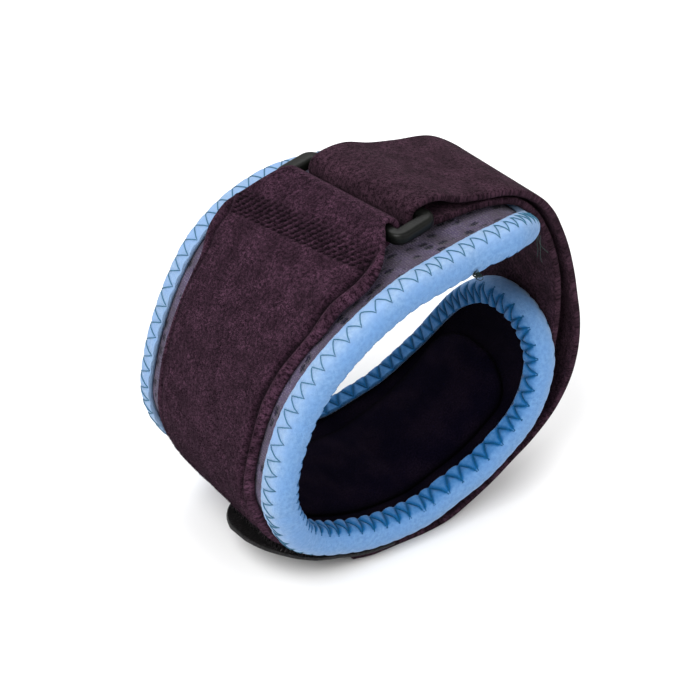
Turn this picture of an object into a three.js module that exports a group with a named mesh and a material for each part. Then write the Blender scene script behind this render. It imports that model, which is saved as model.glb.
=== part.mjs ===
import * as THREE from "three";

// A tennis elbow strap: a padded C-shaped band with taped edges, closed by a pull strap through a buckle.
// Millimetres, +Z up. The loop's axis runs along Y and the near opening faces -Y.
// The strap lies on its outer side, and the pull strap is flat where it rests.

// Clearance between pieces that touch
const GAP = 0.3;

// Padded band
const LOOP_REACH = 42;
const PAD_HALF_WIDTH = 33;
const FOAM_WALL = 3.2;
const LINING_WALL = 1.1;
const CUSHION_WALL = 3;
const CUSHION_HALF_WIDTH = 15.5;

// Edge binding: a tape folded over the edge of the band
const TAPE_WALL = 1;
const TAPE_LEG = 6;
const TAPE_FOLD_DEPTH = 2.4;
const TAPE_PLAY = 1.5;
const TAPE_STATIONS = 118;

// Velour panel and pull strap
const PANEL_WALL = 1.6;
const PANEL_MARGIN = 8.5;
const PANEL_HALF_WIDTH = PAD_HALF_WIDTH - PANEL_MARGIN;
const STRAP_WALL = 1.9;
const STRAP_HALF_WIDTH = 16.3;
const STRAP_PRESS = 0.2;
const HOOK_WALL = 1;
const HOOK_MIDDLE_ACROSS = -7;
const HOOK_END_ROUND = 13;
const HOOK_STATIONS = 16;
const HOOK_CROWDING = 0.6;

// Buckle: a flat rectangular ring
const BUCKLE_BAR = 3.2;
const BUCKLE_SIDE_BAR = 3.8;
const BUCKLE_SIDE_PLAY = 1.4;
const BUCKLE_CORNER = 3.4;
const BUCKLE_BEVEL = 0.7;
const BUCKLE_SLOT = 2.2;
const BAR_PLAY = 0.5;
const BUCKLE_YAW = THREE.MathUtils.degToRad(11);
const BUCKLE_MIDDLE_ALONG = 0.128;
const BUCKLE_MIDDLE_ACROSS = -0.8;

// Outer face of the band seen along +Y: turn in degrees from +X towards +Z, reach as a share of LOOP_REACH.
// The rows run from the band's upper end over the top, down the left, under the loop and up the right.
const LOOP_FORM = [
  { turn: 49, reach: 1.198 },
  { turn: 55, reach: 1.164 },
  { turn: 62, reach: 1.074 },
  { turn: 70, reach: 0.993 },
  { turn: 80, reach: 0.941 },
  { turn: 90, reach: 0.921 },
  { turn: 100, reach: 0.915 },
  { turn: 112, reach: 0.906 },
  { turn: 122, reach: 0.9 },
  { turn: 137, reach: 0.893 },
  { turn: 152, reach: 0.883 },
  { turn: 169, reach: 0.904 },
  { turn: 184, reach: 0.959 },
  { turn: 196, reach: 1.021 },
  { turn: 208, reach: 1.053 },
  { turn: 218, reach: 1.057 },
  { turn: 230, reach: 1.029 },
  { turn: 241, reach: 0.991 },
  { turn: 254, reach: 0.965 },
  { turn: 267, reach: 0.946 },
  { turn: 279, reach: 0.944 },
  { turn: 292, reach: 0.932 },
  { turn: 304, reach: 0.951 },
  { turn: 317, reach: 0.975 },
  { turn: 329, reach: 1.01 },
  { turn: 340, reach: 1.024 },
  { turn: 351, reach: 1.024 },
  { turn: 3, reach: 1.026 },
  { turn: 15, reach: 1.057 },
  { turn: 25, reach: 1.115 },
  { turn: 33, reach: 1.155 },
  { turn: 41, reach: 1.19 },
];

// Outline of the band, laid flat: along as a share of the loop's length from the upper end,
// across as a share of PAD_HALF_WIDTH. The rows go down the near edge and come back up the far edge.
const BAND_OUTLINE = [
  { along: 0.01, across: -0.2 },
  { along: -0.004, across: -0.46 },
  { along: -0.007, across: -0.68 },
  { along: 0.004, across: -0.83 },
  { along: 0.027, across: -0.88 },
  { along: 0.07, across: -0.9 },
  { along: 0.126, across: -0.95 },
  { along: 0.21, across: -0.97 },
  { along: 0.307, across: -0.95 },
  { along: 0.393, across: -0.94 },
  { along: 0.448, across: -0.87 },
  { along: 0.496, across: -0.79 },
  { along: 0.589, across: -0.77 },
  { along: 0.715, across: -0.77 },
  { along: 0.796, across: -0.76 },
  { along: 0.845, across: -0.71 },
  { along: 0.872, across: -0.58 },
  { along: 0.886, across: -0.39 },
  { along: 0.889, across: -0.18 },
  { along: 0.884, across: 0.03 },
  { along: 0.866, across: 0.24 },
  { along: 0.838, across: 0.44 },
  { along: 0.8, across: 0.6 },
  { along: 0.75, across: 0.71 },
  { along: 0.667, across: 0.8 },
  { along: 0.593, across: 0.87 },
  { along: 0.52, across: 0.97 },
  { along: 0.448, across: 1 },
  { along: 0.37, across: 0.975 },
  { along: 0.29, across: 0.97 },
  { along: 0.211, across: 0.97 },
  { along: 0.126, across: 0.93 },
  { along: 0.078, across: 0.84 },
  { along: 0.052, across: 0.66 },
  { along: 0.039, across: 0.38 },
  { along: 0.024, across: 0.1 },
];

// Middle plane of the velour panel: its tail lies on the band, it turns round the buckle's left bar
// and comes back over the tail. Layers counts the fabric below it, lift is the share of the way up to the bar,
// near and far are shares of PANEL_HALF_WIDTH, lean the share of the buckle's yaw that it follows.
const PANEL_TAIL = [
  { along: 0.213, layers: 0, lift: 0, near: -0.9, far: 0.88, lean: 0.5 },
  { along: 0.19, layers: 0, lift: 0, near: -0.88, far: 0.86, lean: 0.7 },
  { along: 0.167, layers: 0, lift: 0.1, near: -0.78, far: 0.72, lean: 0.9 },
];
const PANEL_TOP = [
  { along: 0.16, layers: 1, lift: 0.98, near: -0.75, far: 0.71, lean: 0.95 },
  { along: 0.173, layers: 1, lift: 0.5, near: -0.85, far: 0.9, lean: 0.8 },
  { along: 0.187, layers: 1, lift: 0.1, near: -0.96, far: 1.02, lean: 0.6 },
  { along: 0.212, layers: 1, lift: 0, near: -1, far: 0.96, lean: 0.4 },
  { along: 0.228, layers: 0.4, lift: 0, near: -1, far: 0.92, lean: 0.2 },
  { along: 0.244, layers: 0, lift: 0, near: -1, far: 0.88, lean: 0.05 },
];
const PANEL_RUN = [
  { along: 0.29, near: -0.99, far: 0.86 },
  { along: 0.34, near: -0.96, far: 0.84 },
  { along: 0.393, near: -0.92, far: 0.8 },
  { along: 0.45, near: -0.86, far: 0.79 },
  { along: 0.5, near: -0.76, far: 0.79 },
  { along: 0.6, near: -0.75, far: 0.78 },
  { along: 0.7, near: -0.74, far: 0.7 },
  { along: 0.76, near: -0.74, far: 0.58 },
];
const PANEL_RUN_STEPS = 15;

// Middle plane of the pull strap. Its inner layer starts on the panel, crosses the opening of the band and
// turns round the buckle's right bar; its outer layer comes back round the loop. Layers counts the strap below
// it, lift raises it and drop lowers its far edge by shares of the buckle's height, and shift moves it across
// by a share of its half width.
const STRAP_INNER = [
  { along: 0.7, layers: 0, lift: 0, drop: 0, shift: -0.06, lean: 0 },
  { along: 0.735, layers: 0, lift: 0, drop: 0, shift: -0.08, lean: 0 },
  { along: 0.77, layers: 0, lift: 0, drop: 0, shift: -0.1, lean: 0 },
  { along: 0.81, layers: 0, lift: 0, drop: 0, shift: -0.14, lean: 0 },
  { along: 0.845, layers: 0, lift: 0, drop: 0, shift: -0.18, lean: 0 },
  { along: 0.88, layers: 0, lift: -0.02, drop: 0, shift: -0.21, lean: 0 },
  { along: 0.91, layers: 0, lift: -0.12, drop: 0, shift: -0.23, lean: 0 },
  { along: 0.94, layers: 0, lift: -0.2, drop: 0.1, shift: -0.23, lean: 0 },
  { along: 0.965, layers: 0, lift: -0.18, drop: 0.2, shift: -0.21, lean: 0 },
  { along: 0.985, layers: 0, lift: -0.1, drop: 0.24, shift: -0.18, lean: 0 },
  { along: 1.006, layers: 0, lift: -0.06, drop: 0.17, shift: -0.15, lean: 0 },
  { along: 1.03, layers: 0, lift: -0.05, drop: 0.02, shift: -0.11, lean: 0.2 },
  { along: 1.058, layers: 0, lift: 0, drop: 0, shift: -0.06, lean: 0.5 },
  { along: 1.085, layers: 0, lift: 0, drop: 0, shift: -0.03, lean: 0.9 },
];
const STRAP_OUTER = [
  { along: 1.09, layers: 1, lift: 0.66, drop: 0, shift: -0.03, lean: 0.9 },
  { along: 1.068, layers: 1, lift: 0.32, drop: 0, shift: -0.07, lean: 0.6 },
  { along: 1.044, layers: 1, lift: 0.1, drop: 0.04, shift: -0.13, lean: 0.4 },
  { along: 1.018, layers: 1, lift: 0.03, drop: 0.17, shift: -0.2, lean: 0.2 },
  { along: 0.996, layers: 1, lift: 0.02, drop: 0.32, shift: -0.25, lean: 0.1 },
  { along: 0.976, layers: 1, lift: -0.01, drop: 0.26, shift: -0.28, lean: 0 },
  { along: 0.956, layers: 1, lift: -0.06, drop: 0.08, shift: -0.29, lean: 0 },
  { along: 0.934, layers: 1, lift: -0.03, drop: 0, shift: -0.29, lean: 0 },
  { along: 0.91, layers: 1, lift: 0.1, drop: 0, shift: -0.29, lean: 0 },
  { along: 0.885, layers: 1, lift: 0.3, drop: 0, shift: -0.28, lean: 0 },
  { along: 0.855, layers: 1, lift: 0.53, drop: 0, shift: -0.28, lean: 0 },
  { along: 0.825, layers: 1, lift: 0.62, drop: 0, shift: -0.28, lean: 0 },
  { along: 0.8, layers: 1, lift: 0.6, drop: 0, shift: -0.28, lean: 0 },
  { along: 0.775, layers: 1, lift: 0.47, drop: 0, shift: -0.28, lean: 0 },
  { along: 0.75, layers: 1, lift: 0.29, drop: 0, shift: -0.28, lean: 0 },
  { along: 0.725, layers: 1, lift: 0.18, drop: 0, shift: -0.28, lean: 0 },
  { along: 0.7, layers: 1, lift: 0.18, drop: 0, shift: -0.28, lean: 0 },
  { along: 0.675, layers: 1, lift: 0.25, drop: 0, shift: -0.28, lean: 0 },
  { along: 0.65, layers: 1, lift: 0.3, drop: 0, shift: -0.28, lean: 0 },
  { along: 0.625, layers: 1, lift: 0.24, drop: 0, shift: -0.28, lean: 0 },
  { along: 0.6, layers: 1, lift: 0.1, drop: 0, shift: -0.28, lean: 0 },
  { along: 0.575, layers: 1, lift: 0.03, drop: 0, shift: -0.28, lean: 0 },
  { along: 0.555, layers: 1, lift: -0.04, drop: 0, shift: -0.28, lean: 0 },
];

// Hook tab: it starts under the end of the pull strap, and its round end stands off the band.
// Lift raises it and drop lowers its near edge by shares of the buckle's height.
const HOOK_RUN = [
  { along: 0.59, lift: 0, drop: 0 },
  { along: 0.57, lift: 0, drop: 0 },
  { along: 0.55, lift: 0, drop: 0 },
  { along: 0.53, lift: 0.02, drop: 0.02 },
  { along: 0.515, lift: 0.08, drop: 0.07 },
  { along: 0.5, lift: 0.19, drop: 0.15 },
  { along: 0.484, lift: 0.36, drop: 0.24 },
  { along: 0.468, lift: 0.56, drop: 0.32 },
];

// Raised cushion inside the band
const CUSHION_START = 0.44;
const CUSHION_END = 0.8;
const CUSHION_END_ROUND = 12;
const CUSHION_ACROSS = -0.6;

// Half of a strip's section: how far each point lies in from the edge and how high, in half walls
const STRIP_EDGE = [
  { inset: 1.3, rise: -1 },
  { inset: 0.4, rise: -0.75 },
  { inset: 0, rise: 0 },
  { inset: 0.4, rise: 0.75 },
  { inset: 1.3, rise: 1 },
];

const QUARTER_TURN = Math.PI / 2;
const END_STEPS = 5;
const END_LENGTH = 11;

const loopCurve = new THREE.CatmullRomCurve3(
  LOOP_FORM.map(({ turn, reach }) => {
    const angle = THREE.MathUtils.degToRad(turn);
    return new THREE.Vector3(Math.cos(angle), 0, Math.sin(angle)).multiplyScalar(reach * LOOP_REACH);
  }),
  true,
);
loopCurve.arcLengthDivisions = 1200;
const LOOP_LENGTH = loopCurve.getLength();

// Directions across a path in the XZ plane: outwards is to the right of travel
function outwardOf(run) {
  return new THREE.Vector3(run.z, 0, -run.x).normalize();
}

// Point of the loop at a share of its length, raised off the band's outer face
function loopPoint(along, height) {
  const share = THREE.MathUtils.euclideanModulo(along, 1);
  const out = outwardOf(loopCurve.getTangentAt(share));
  return loopCurve.getPointAt(share).addScaledVector(out, height);
}

function signedVolume(points, faces) {
  let volume = 0;
  for (let i = 0; i < faces.length; i += 3) {
    const [a, b, c] = [points[faces[i]], points[faces[i + 1]], points[faces[i + 2]]];
    volume += a.dot(b.clone().cross(c)) / 6;
  }
  return volume;
}

// A closed solid through rings of as many points each; a closed sweep joins its last ring to its first
function solidThrough(rings, closed = false) {
  const count = rings[0].length;
  const points = rings.flat();
  const faces = [];
  const spans = closed ? rings.length : rings.length - 1;
  for (let i = 0; i < spans; i++) {
    const here = i * count;
    const next = ((i + 1) % rings.length) * count;
    for (let k = 0; k < count; k++) {
      const side = (k + 1) % count;
      faces.push(here + k, here + side, next + side, here + k, next + side, next + k);
    }
  }
  if (!closed) {
    const caps = [
      { ring: rings[0], start: 0, turned: true },
      { ring: rings.at(-1), start: (rings.length - 1) * count, turned: false },
    ];
    for (const { ring, start, turned } of caps) {
      const middle = points.length;
      const sum = ring.reduce((total, point) => total.add(point), new THREE.Vector3());
      points.push(sum.divideScalar(count));
      for (let k = 0; k < count; k++) {
        const side = (k + 1) % count;
        faces.push(middle, start + (turned ? side : k), start + (turned ? k : side));
      }
    }
  }
  if (signedVolume(points, faces) < 0) faces.reverse();
  const geometry = new THREE.BufferGeometry().setFromPoints(points);
  geometry.setIndex(faces);
  geometry.computeVertexNormals();
  return geometry;
}

// Section of a strip between two edges and two heights, as pairs of y and height, going round it
function stripSection(near, far, low, high) {
  const half = (high - low) / 2;
  const middle = (high + low) / 2;
  const round = Math.min(half, (far - near) / 4);
  const side = (edge, way) =>
    STRIP_EDGE.map(({ inset, rise }) => ({ y: edge + way * inset * round, height: middle + rise * half }));
  return [
    ...side(near, 1),
    { y: (near + far) / 2, height: high },
    ...side(far, -1).reverse(),
    { y: (near + far) / 2, height: low },
  ];
}

// The band's outline laid flat, with x along the loop and y across it, moved inwards by an inset
const outlineCurve = new THREE.CatmullRomCurve3(
  BAND_OUTLINE.map(
    ({ along, across }) => new THREE.Vector3(along * LOOP_LENGTH, across * PAD_HALF_WIDTH, 0),
  ),
  true,
);

function outlineStations(count) {
  return Array.from({ length: count }, (_, i) => {
    const run = outlineCurve.getTangentAt(i / count);
    return {
      point: outlineCurve.getPointAt(i / count),
      inward: new THREE.Vector3(-run.y, run.x, 0).normalize(),
    };
  });
}

const OUTLINE_FINENESS = 400;

function insetOutline(inset) {
  return outlineStations(OUTLINE_FINENESS).map(({ point, inward }) => point.addScaledVector(inward, inset));
}

// Near and far edge of a closed flat outline at a distance along the loop
function edgesAt(outline, distance) {
  const crossings = [];
  outline.forEach((a, i) => {
    const b = outline[(i + 1) % outline.length];
    if (a.x < distance === b.x < distance) return;
    crossings.push(THREE.MathUtils.mapLinear(distance, a.x, b.x, a.y, b.y));
  });
  return { near: Math.min(...crossings), far: Math.max(...crossings) };
}

// Distances between two ends, close together where the ends are rounded
function distancesBetween(start, end, step) {
  const rounding = Array.from(
    { length: END_STEPS },
    (_, i) => END_LENGTH * (1 - Math.cos((QUARTER_TURN * i) / END_STEPS)),
  );
  const steps = Math.round((end - start - 2 * END_LENGTH) / step);
  const between = Array.from({ length: steps + 1 }, (_, i) =>
    THREE.MathUtils.lerp(start + END_LENGTH, end - END_LENGTH, i / steps),
  );
  return [...rounding.map((d) => start + d), ...between, ...rounding.reverse().map((d) => end - d)];
}

// One layer of the band: the flat outline, inset from the tape's fold, between two heights
function bandLayer(low, high, inset, step) {
  const outline = insetOutline(inset);
  const reach = outline.map((point) => point.x);
  const start = Math.min(...reach) + GAP;
  const end = Math.max(...reach) - GAP;
  const rings = distancesBetween(start, end, step).map((distance) => {
    const { near, far } = edgesAt(outline, distance);
    return stripSection(near, far, low, high).map(({ y, height }) =>
      loopPoint(distance / LOOP_LENGTH, height).setY(y),
    );
  });
  return solidThrough(rings);
}

const LINING_TOP = -FOAM_WALL - GAP;
const LINING_FACE = LINING_TOP - LINING_WALL;
const LAYER_INSET = TAPE_WALL + TAPE_PLAY;
const LAYER_STEP = 6;

const padGeometry = () => bandLayer(-FOAM_WALL, 0, LAYER_INSET, LAYER_STEP);
const liningGeometry = () => bandLayer(LINING_FACE, LINING_TOP, LAYER_INSET, LAYER_STEP);

// The tape's section: how far in from the fold each point lies and at what height
function tapeSection() {
  const middle = LINING_FACE / 2;
  const half = GAP + TAPE_WALL - middle;
  const arc = (steps, depth, start, height) =>
    Array.from({ length: steps + 1 }, (_, i) => {
      const angle = QUARTER_TURN * (1 - (2 * i) / steps);
      return { inward: start + depth * (1 - Math.cos(angle)), height: middle + height * Math.sin(angle) };
    });
  const outside = arc(6, TAPE_FOLD_DEPTH, 0, half);
  const inside = arc(4, TAPE_FOLD_DEPTH - TAPE_WALL, TAPE_WALL, half - TAPE_WALL).reverse();
  return [
    { inward: TAPE_LEG, height: middle + half },
    ...outside,
    { inward: TAPE_LEG, height: middle - half },
    { inward: TAPE_LEG, height: middle - half + TAPE_WALL },
    ...inside,
    { inward: TAPE_LEG, height: middle + half - TAPE_WALL },
  ];
}

function bindingGeometry() {
  const section = tapeSection();
  const rings = outlineStations(TAPE_STATIONS).map(({ point, inward }) =>
    section.map((row) => {
      const flat = point.clone().addScaledVector(inward, row.inward);
      return loopPoint(flat.x / LOOP_LENGTH, row.height).setY(flat.y);
    }),
  );
  return solidThrough(rings, true);
}

// Half of the width left at a distance from a rounded end
function roundedShare(distance, round) {
  const missing = 1 - Math.min(distance / round, 1);
  return Math.sqrt(1 - missing * missing);
}

function cushionGeometry() {
  const start = CUSHION_START * LOOP_LENGTH;
  const end = CUSHION_END * LOOP_LENGTH;
  const top = LINING_FACE - GAP;
  const rings = distancesBetween(start, end, LAYER_STEP).map((distance) => {
    const fromEnd = Math.min(distance - start, end - distance) + GAP;
    const half = CUSHION_HALF_WIDTH * roundedShare(fromEnd, CUSHION_END_ROUND);
    const wall = CUSHION_WALL * (0.4 + 0.6 * roundedShare(fromEnd, CUSHION_END_ROUND));
    return stripSection(CUSHION_ACROSS - half, CUSHION_ACROSS + half, top - wall, top).map(({ y, height }) =>
      loopPoint(distance / LOOP_LENGTH, height).setY(y),
    );
  });
  return solidThrough(rings);
}

// Heights over the band's outer face that the fabrics and the buckle share
const PANEL_SEAT = GAP + PANEL_WALL / 2;
const HOOK_SEAT = PANEL_SEAT + (PANEL_WALL + HOOK_WALL) / 2 + GAP;
const STRAP_SEAT = GAP + Math.max(PANEL_WALL, TAPE_WALL) + GAP + STRAP_WALL / 2;
const STRAP_TURN = BUCKLE_BAR / 2 + BAR_PLAY + STRAP_WALL / 2;
const PANEL_TURN = BUCKLE_BAR / 2 + BAR_PLAY + PANEL_WALL / 2;
const BUCKLE_HEIGHT = STRAP_SEAT + STRAP_TURN;
const BAR_REACH = BUCKLE_SLOT / 2 + (STRAP_WALL + PANEL_WALL) / 2 + BAR_PLAY + BUCKLE_BAR / 2;

// The loop rests on the strap, under the panel and the hook tab
const LOWEST = Math.min(...loopCurve.getSpacedPoints(OUTLINE_FINENESS).map((point) => point.z));
const STRAP_LOWEST = LOWEST - HOOK_SEAT - (HOOK_WALL + STRAP_WALL) / 2 - GAP;
const RESTS_ON = STRAP_LOWEST - STRAP_WALL / 2 + STRAP_PRESS;

// The strap passes through the buckle's hole, whose ends clear it on both sides
const HOLE_HALF_LENGTH = STRAP_HALF_WIDTH + BUCKLE_SIDE_PLAY;
const FOLD_EDGES = {
  near: BUCKLE_MIDDLE_ACROSS - HOLE_HALF_LENGTH + 2 * BAR_PLAY,
  far: BUCKLE_MIDDLE_ACROSS + HOLE_HALF_LENGTH - 2 * BAR_PLAY,
};

// The buckle's middle, and the directions along its bars and from bar to bar
const buckleMiddle = loopPoint(BUCKLE_MIDDLE_ALONG, BUCKLE_HEIGHT);
const buckleRun = loopCurve.getTangentAt(BUCKLE_MIDDLE_ALONG);

function barMiddle(way) {
  return buckleMiddle.clone().addScaledVector(buckleRun, way * BAR_REACH);
}

// Points of a half turn round a bar, from under it to over it
function barTurn(bar, radius, way) {
  const up = outwardOf(buckleRun);
  return [-1, -0.5, 0, 0.5, 1].map((share) => {
    const angle = share * QUARTER_TURN;
    return bar
      .clone()
      .addScaledVector(buckleRun, way * radius * Math.cos(angle))
      .addScaledVector(up, radius * Math.sin(angle));
  });
}

// Where a strip crosses a loop row: the buckle's yaw moves each point along by its distance across
function onLoop(row, height) {
  return (y) => {
    const shift = row.lean * Math.tan(BUCKLE_YAW) * (y - BUCKLE_MIDDLE_ACROSS);
    return loopPoint(row.along + shift / LOOP_LENGTH, height).setY(y);
  };
}

// Rows of a half turn round a bar, which follow the bar's yaw in full
function turnRows(bar, radius, way, edges) {
  return barTurn(bar, radius, way).map((point) => ({
    ...edges,
    at: (y) => point.clone().setY(y).addScaledVector(buckleRun, Math.tan(BUCKLE_YAW) * (y - BUCKLE_MIDDLE_ACROSS)),
  }));
}

// A strip ruled between a near and a far edge, each a curve through the rows, and flat where it rests
function stripGeometry(rows, wall, samples, restsOn = -Infinity) {
  const edges = ["near", "far"].map(
    (edge) => new THREE.CatmullRomCurve3(rows.map((row) => row.at(row[edge]))),
  );
  const total = samples * (rows.length - 1);
  const rings = Array.from({ length: total + 1 }, (_, i) => {
    const [near, far] = edges.map((curve) => curve.getPoint(i / total));
    const [nearOut, farOut] = edges.map((curve) => outwardOf(curve.getTangent(i / total)));
    return stripSection(near.y, far.y, -wall / 2, wall / 2).map(({ y, height }) => {
      const across = (y - near.y) / (far.y - near.y);
      const out = nearOut.clone().lerp(farOut, across).normalize();
      const point = near.clone().lerp(far, across).addScaledVector(out, height);
      return point.setZ(Math.max(point.z, restsOn));
    });
  });
  return solidThrough(rings);
}

function panelGeometry() {
  const edges = ({ near, far }) => ({ near: near * PANEL_HALF_WIDTH, far: far * PANEL_HALF_WIDTH });
  const lifted = (rows, height) =>
    rows.map((row) => {
      const seat = PANEL_SEAT + row.layers * (PANEL_WALL + GAP);
      return { at: onLoop(row, THREE.MathUtils.lerp(seat, height, row.lift)), ...edges(row) };
    });
  const run = Array.from({ length: PANEL_RUN_STEPS + 1 }, (_, i) => {
    const along = THREE.MathUtils.lerp(PANEL_RUN[0].along, PANEL_RUN.at(-1).along, i / PANEL_RUN_STEPS);
    const row = { along, lean: 0, near: valueAt(PANEL_RUN, along, "near"), far: valueAt(PANEL_RUN, along, "far") };
    return { at: onLoop(row, PANEL_SEAT), ...edges(row) };
  });
  const rows = [
    ...lifted(PANEL_TAIL, BUCKLE_HEIGHT - PANEL_TURN),
    ...turnRows(barMiddle(1), PANEL_TURN, -1, FOLD_EDGES),
    ...lifted(PANEL_TOP, BUCKLE_HEIGHT + PANEL_TURN),
    ...run,
  ];
  return stripGeometry(rows, PANEL_WALL, 2);
}

// A column's value between a table's rows, whose along rises or falls all the way
function valueAt(table, along, name) {
  const rising = table.at(-1).along > table[0].along;
  const passed = table.findIndex((row) => (rising ? row.along > along : row.along < along));
  const next = passed < 0 ? table.length - 1 : Math.max(passed, 1);
  const [a, b] = [table[next - 1], table[next]];
  return THREE.MathUtils.mapLinear(along, a.along, b.along, a[name], b[name]);
}

function strapGeometry() {
  const edges = (shift) => ({
    near: (shift - 1) * STRAP_HALF_WIDTH,
    far: (shift + 1) * STRAP_HALF_WIDTH,
  });
  const lifted = (row) => {
    const at = (y) => {
      const across = (y / STRAP_HALF_WIDTH - row.shift + 1) / 2;
      const height = STRAP_SEAT + row.layers * (STRAP_WALL + GAP) + (row.lift - across * row.drop) * BUCKLE_HEIGHT;
      const point = onLoop(row, height)(y);
      return point.setZ(Math.max(point.z, STRAP_LOWEST));
    };
    return { at, ...edges(row.shift) };
  };
  const fold = turnRows(barMiddle(-1), STRAP_TURN, 1, edges(STRAP_OUTER[0].shift));
  const rows = [...STRAP_INNER.map(lifted), ...fold, ...STRAP_OUTER.map(lifted)];
  return stripGeometry(rows, STRAP_WALL, 2, RESTS_ON);
}

function hookGeometry() {
  const tip = HOOK_RUN.at(-1).along;
  const rows = Array.from({ length: HOOK_STATIONS + 1 }, (_, i) => {
    const reach = (HOOK_RUN[0].along - tip) * (1 - (i / HOOK_STATIONS) ** HOOK_CROWDING);
    const along = tip + reach;
    const half = STRAP_HALF_WIDTH * roundedShare(reach * LOOP_LENGTH + GAP, HOOK_END_ROUND);
    const [lift, drop] = ["lift", "drop"].map((name) => valueAt(HOOK_RUN, along, name));
    const at = (y) => {
      const nearness = (1 - (y - HOOK_MIDDLE_ACROSS) / STRAP_HALF_WIDTH) / 2;
      return onLoop({ along, lean: 0 }, HOOK_SEAT + (lift - nearness * drop) * BUCKLE_HEIGHT)(y);
    };
    return { at, near: HOOK_MIDDLE_ACROSS - half, far: HOOK_MIDDLE_ACROSS + half };
  });
  return stripGeometry(rows.reverse(), HOOK_WALL, 1);
}

function roundedRectangle(Kind, length, width, corner) {
  const [x, y] = [length / 2, width / 2];
  const shape = new Kind();
  shape.moveTo(-x + corner, -y);
  shape.lineTo(x - corner, -y);
  shape.absarc(x - corner, -y + corner, corner, -QUARTER_TURN, 0);
  shape.lineTo(x, y - corner);
  shape.absarc(x - corner, y - corner, corner, 0, QUARTER_TURN);
  shape.lineTo(-x + corner, y);
  shape.absarc(-x + corner, y - corner, corner, QUARTER_TURN, 2 * QUARTER_TURN);
  shape.lineTo(-x, -y + corner);
  shape.absarc(-x + corner, -y + corner, corner, 2 * QUARTER_TURN, 3 * QUARTER_TURN);
  return shape;
}

// The ring lies in its own XY plane, with its bars along X
function buckleGeometry() {
  const width = 2 * BAR_REACH + BUCKLE_BAR;
  const inset = 2 * BUCKLE_BEVEL;
  const length = 2 * (HOLE_HALF_LENGTH + BUCKLE_SIDE_BAR);
  const shape = roundedRectangle(THREE.Shape, length - inset, width - inset, BUCKLE_CORNER);
  const holeLength = 2 * HOLE_HALF_LENGTH + inset;
  const holeWidth = 2 * BAR_REACH - BUCKLE_BAR + inset;
  shape.holes.push(roundedRectangle(THREE.Path, holeLength, holeWidth, BUCKLE_BEVEL * 2));
  const geometry = new THREE.ExtrudeGeometry(shape, {
    depth: BUCKLE_BAR - inset,
    bevelThickness: BUCKLE_BEVEL,
    bevelSize: BUCKLE_BEVEL,
    bevelSegments: 2,
    curveSegments: 4,
  });
  return geometry.translate(0, 0, -BUCKLE_BAR / 2 + BUCKLE_BEVEL);
}

function placedBuckle(mesh) {
  const up = outwardOf(buckleRun);
  const bars = new THREE.Vector3(0, 1, 0).applyAxisAngle(new THREE.Vector3(0, 0, 1), BUCKLE_YAW);
  const acrossBars = up.clone().cross(bars).normalize();
  const alongBars = acrossBars.clone().cross(up).normalize();
  mesh.quaternion.setFromRotationMatrix(new THREE.Matrix4().makeBasis(alongBars, acrossBars, up));
  mesh.position.copy(buckleMiddle).setY(BUCKLE_MIDDLE_ACROSS);
  return mesh;
}

function piece(name, geometry, colour, roughness) {
  const material = new THREE.MeshStandardMaterial({ color: colour, roughness, metalness: 0 });
  const mesh = new THREE.Mesh(geometry, material);
  mesh.name = name;
  return mesh;
}

const strap = new THREE.Group();
strap.add(
  piece("mesh_pad", padGeometry(), 0x6f6580, 0.95),
  piece("inner_lining", liningGeometry(), 0x1c1820, 0.95),
  piece("pressure_cushion", cushionGeometry(), 0x18151d, 0.95),
  piece("edge_binding", bindingGeometry(), 0xa9ccf0, 0.8),
  piece("velour_panel", panelGeometry(), 0x30262d, 0.95),
  piece("pull_strap", strapGeometry(), 0x33282f, 0.95),
  piece("hook_tab", hookGeometry(), 0x141316, 0.9),
  placedBuckle(piece("buckle", buckleGeometry(), 0x2a2b28, 0.45)),
);

// The origin is under the middle of the object, on the surface that it rests on
const box = new THREE.Box3().setFromObject(strap, true);
const middle = box.getCenter(new THREE.Vector3());
strap.position.set(-middle.x, -middle.y, -box.min.z);

export default strap;
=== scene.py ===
import math
from collections import namedtuple

import bpy
import numpy as np
from mathutils import Matrix, Vector, noise


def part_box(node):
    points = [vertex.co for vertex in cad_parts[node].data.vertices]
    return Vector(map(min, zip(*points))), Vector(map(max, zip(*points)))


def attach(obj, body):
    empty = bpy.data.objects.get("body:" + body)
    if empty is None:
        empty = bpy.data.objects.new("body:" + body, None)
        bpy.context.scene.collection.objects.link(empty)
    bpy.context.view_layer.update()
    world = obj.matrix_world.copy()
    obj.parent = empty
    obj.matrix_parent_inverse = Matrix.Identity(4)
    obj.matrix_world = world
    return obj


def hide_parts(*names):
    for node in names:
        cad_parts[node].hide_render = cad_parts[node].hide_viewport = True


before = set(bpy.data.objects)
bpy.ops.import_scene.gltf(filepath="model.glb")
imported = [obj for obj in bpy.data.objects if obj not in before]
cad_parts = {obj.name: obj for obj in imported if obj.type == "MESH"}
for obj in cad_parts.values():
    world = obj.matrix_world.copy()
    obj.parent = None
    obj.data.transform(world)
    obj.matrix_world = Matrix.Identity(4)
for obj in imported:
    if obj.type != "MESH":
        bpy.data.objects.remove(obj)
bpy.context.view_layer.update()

# A tennis elbow strap: a padded C-shaped band with taped edges, closed by a pull strap through a buckle.
# Lengths are millimetres in the loop's own frame, and are turned into metres in the row's frame at the end.
MM = 0.001
QUARTER_TURN = math.pi / 2

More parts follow.
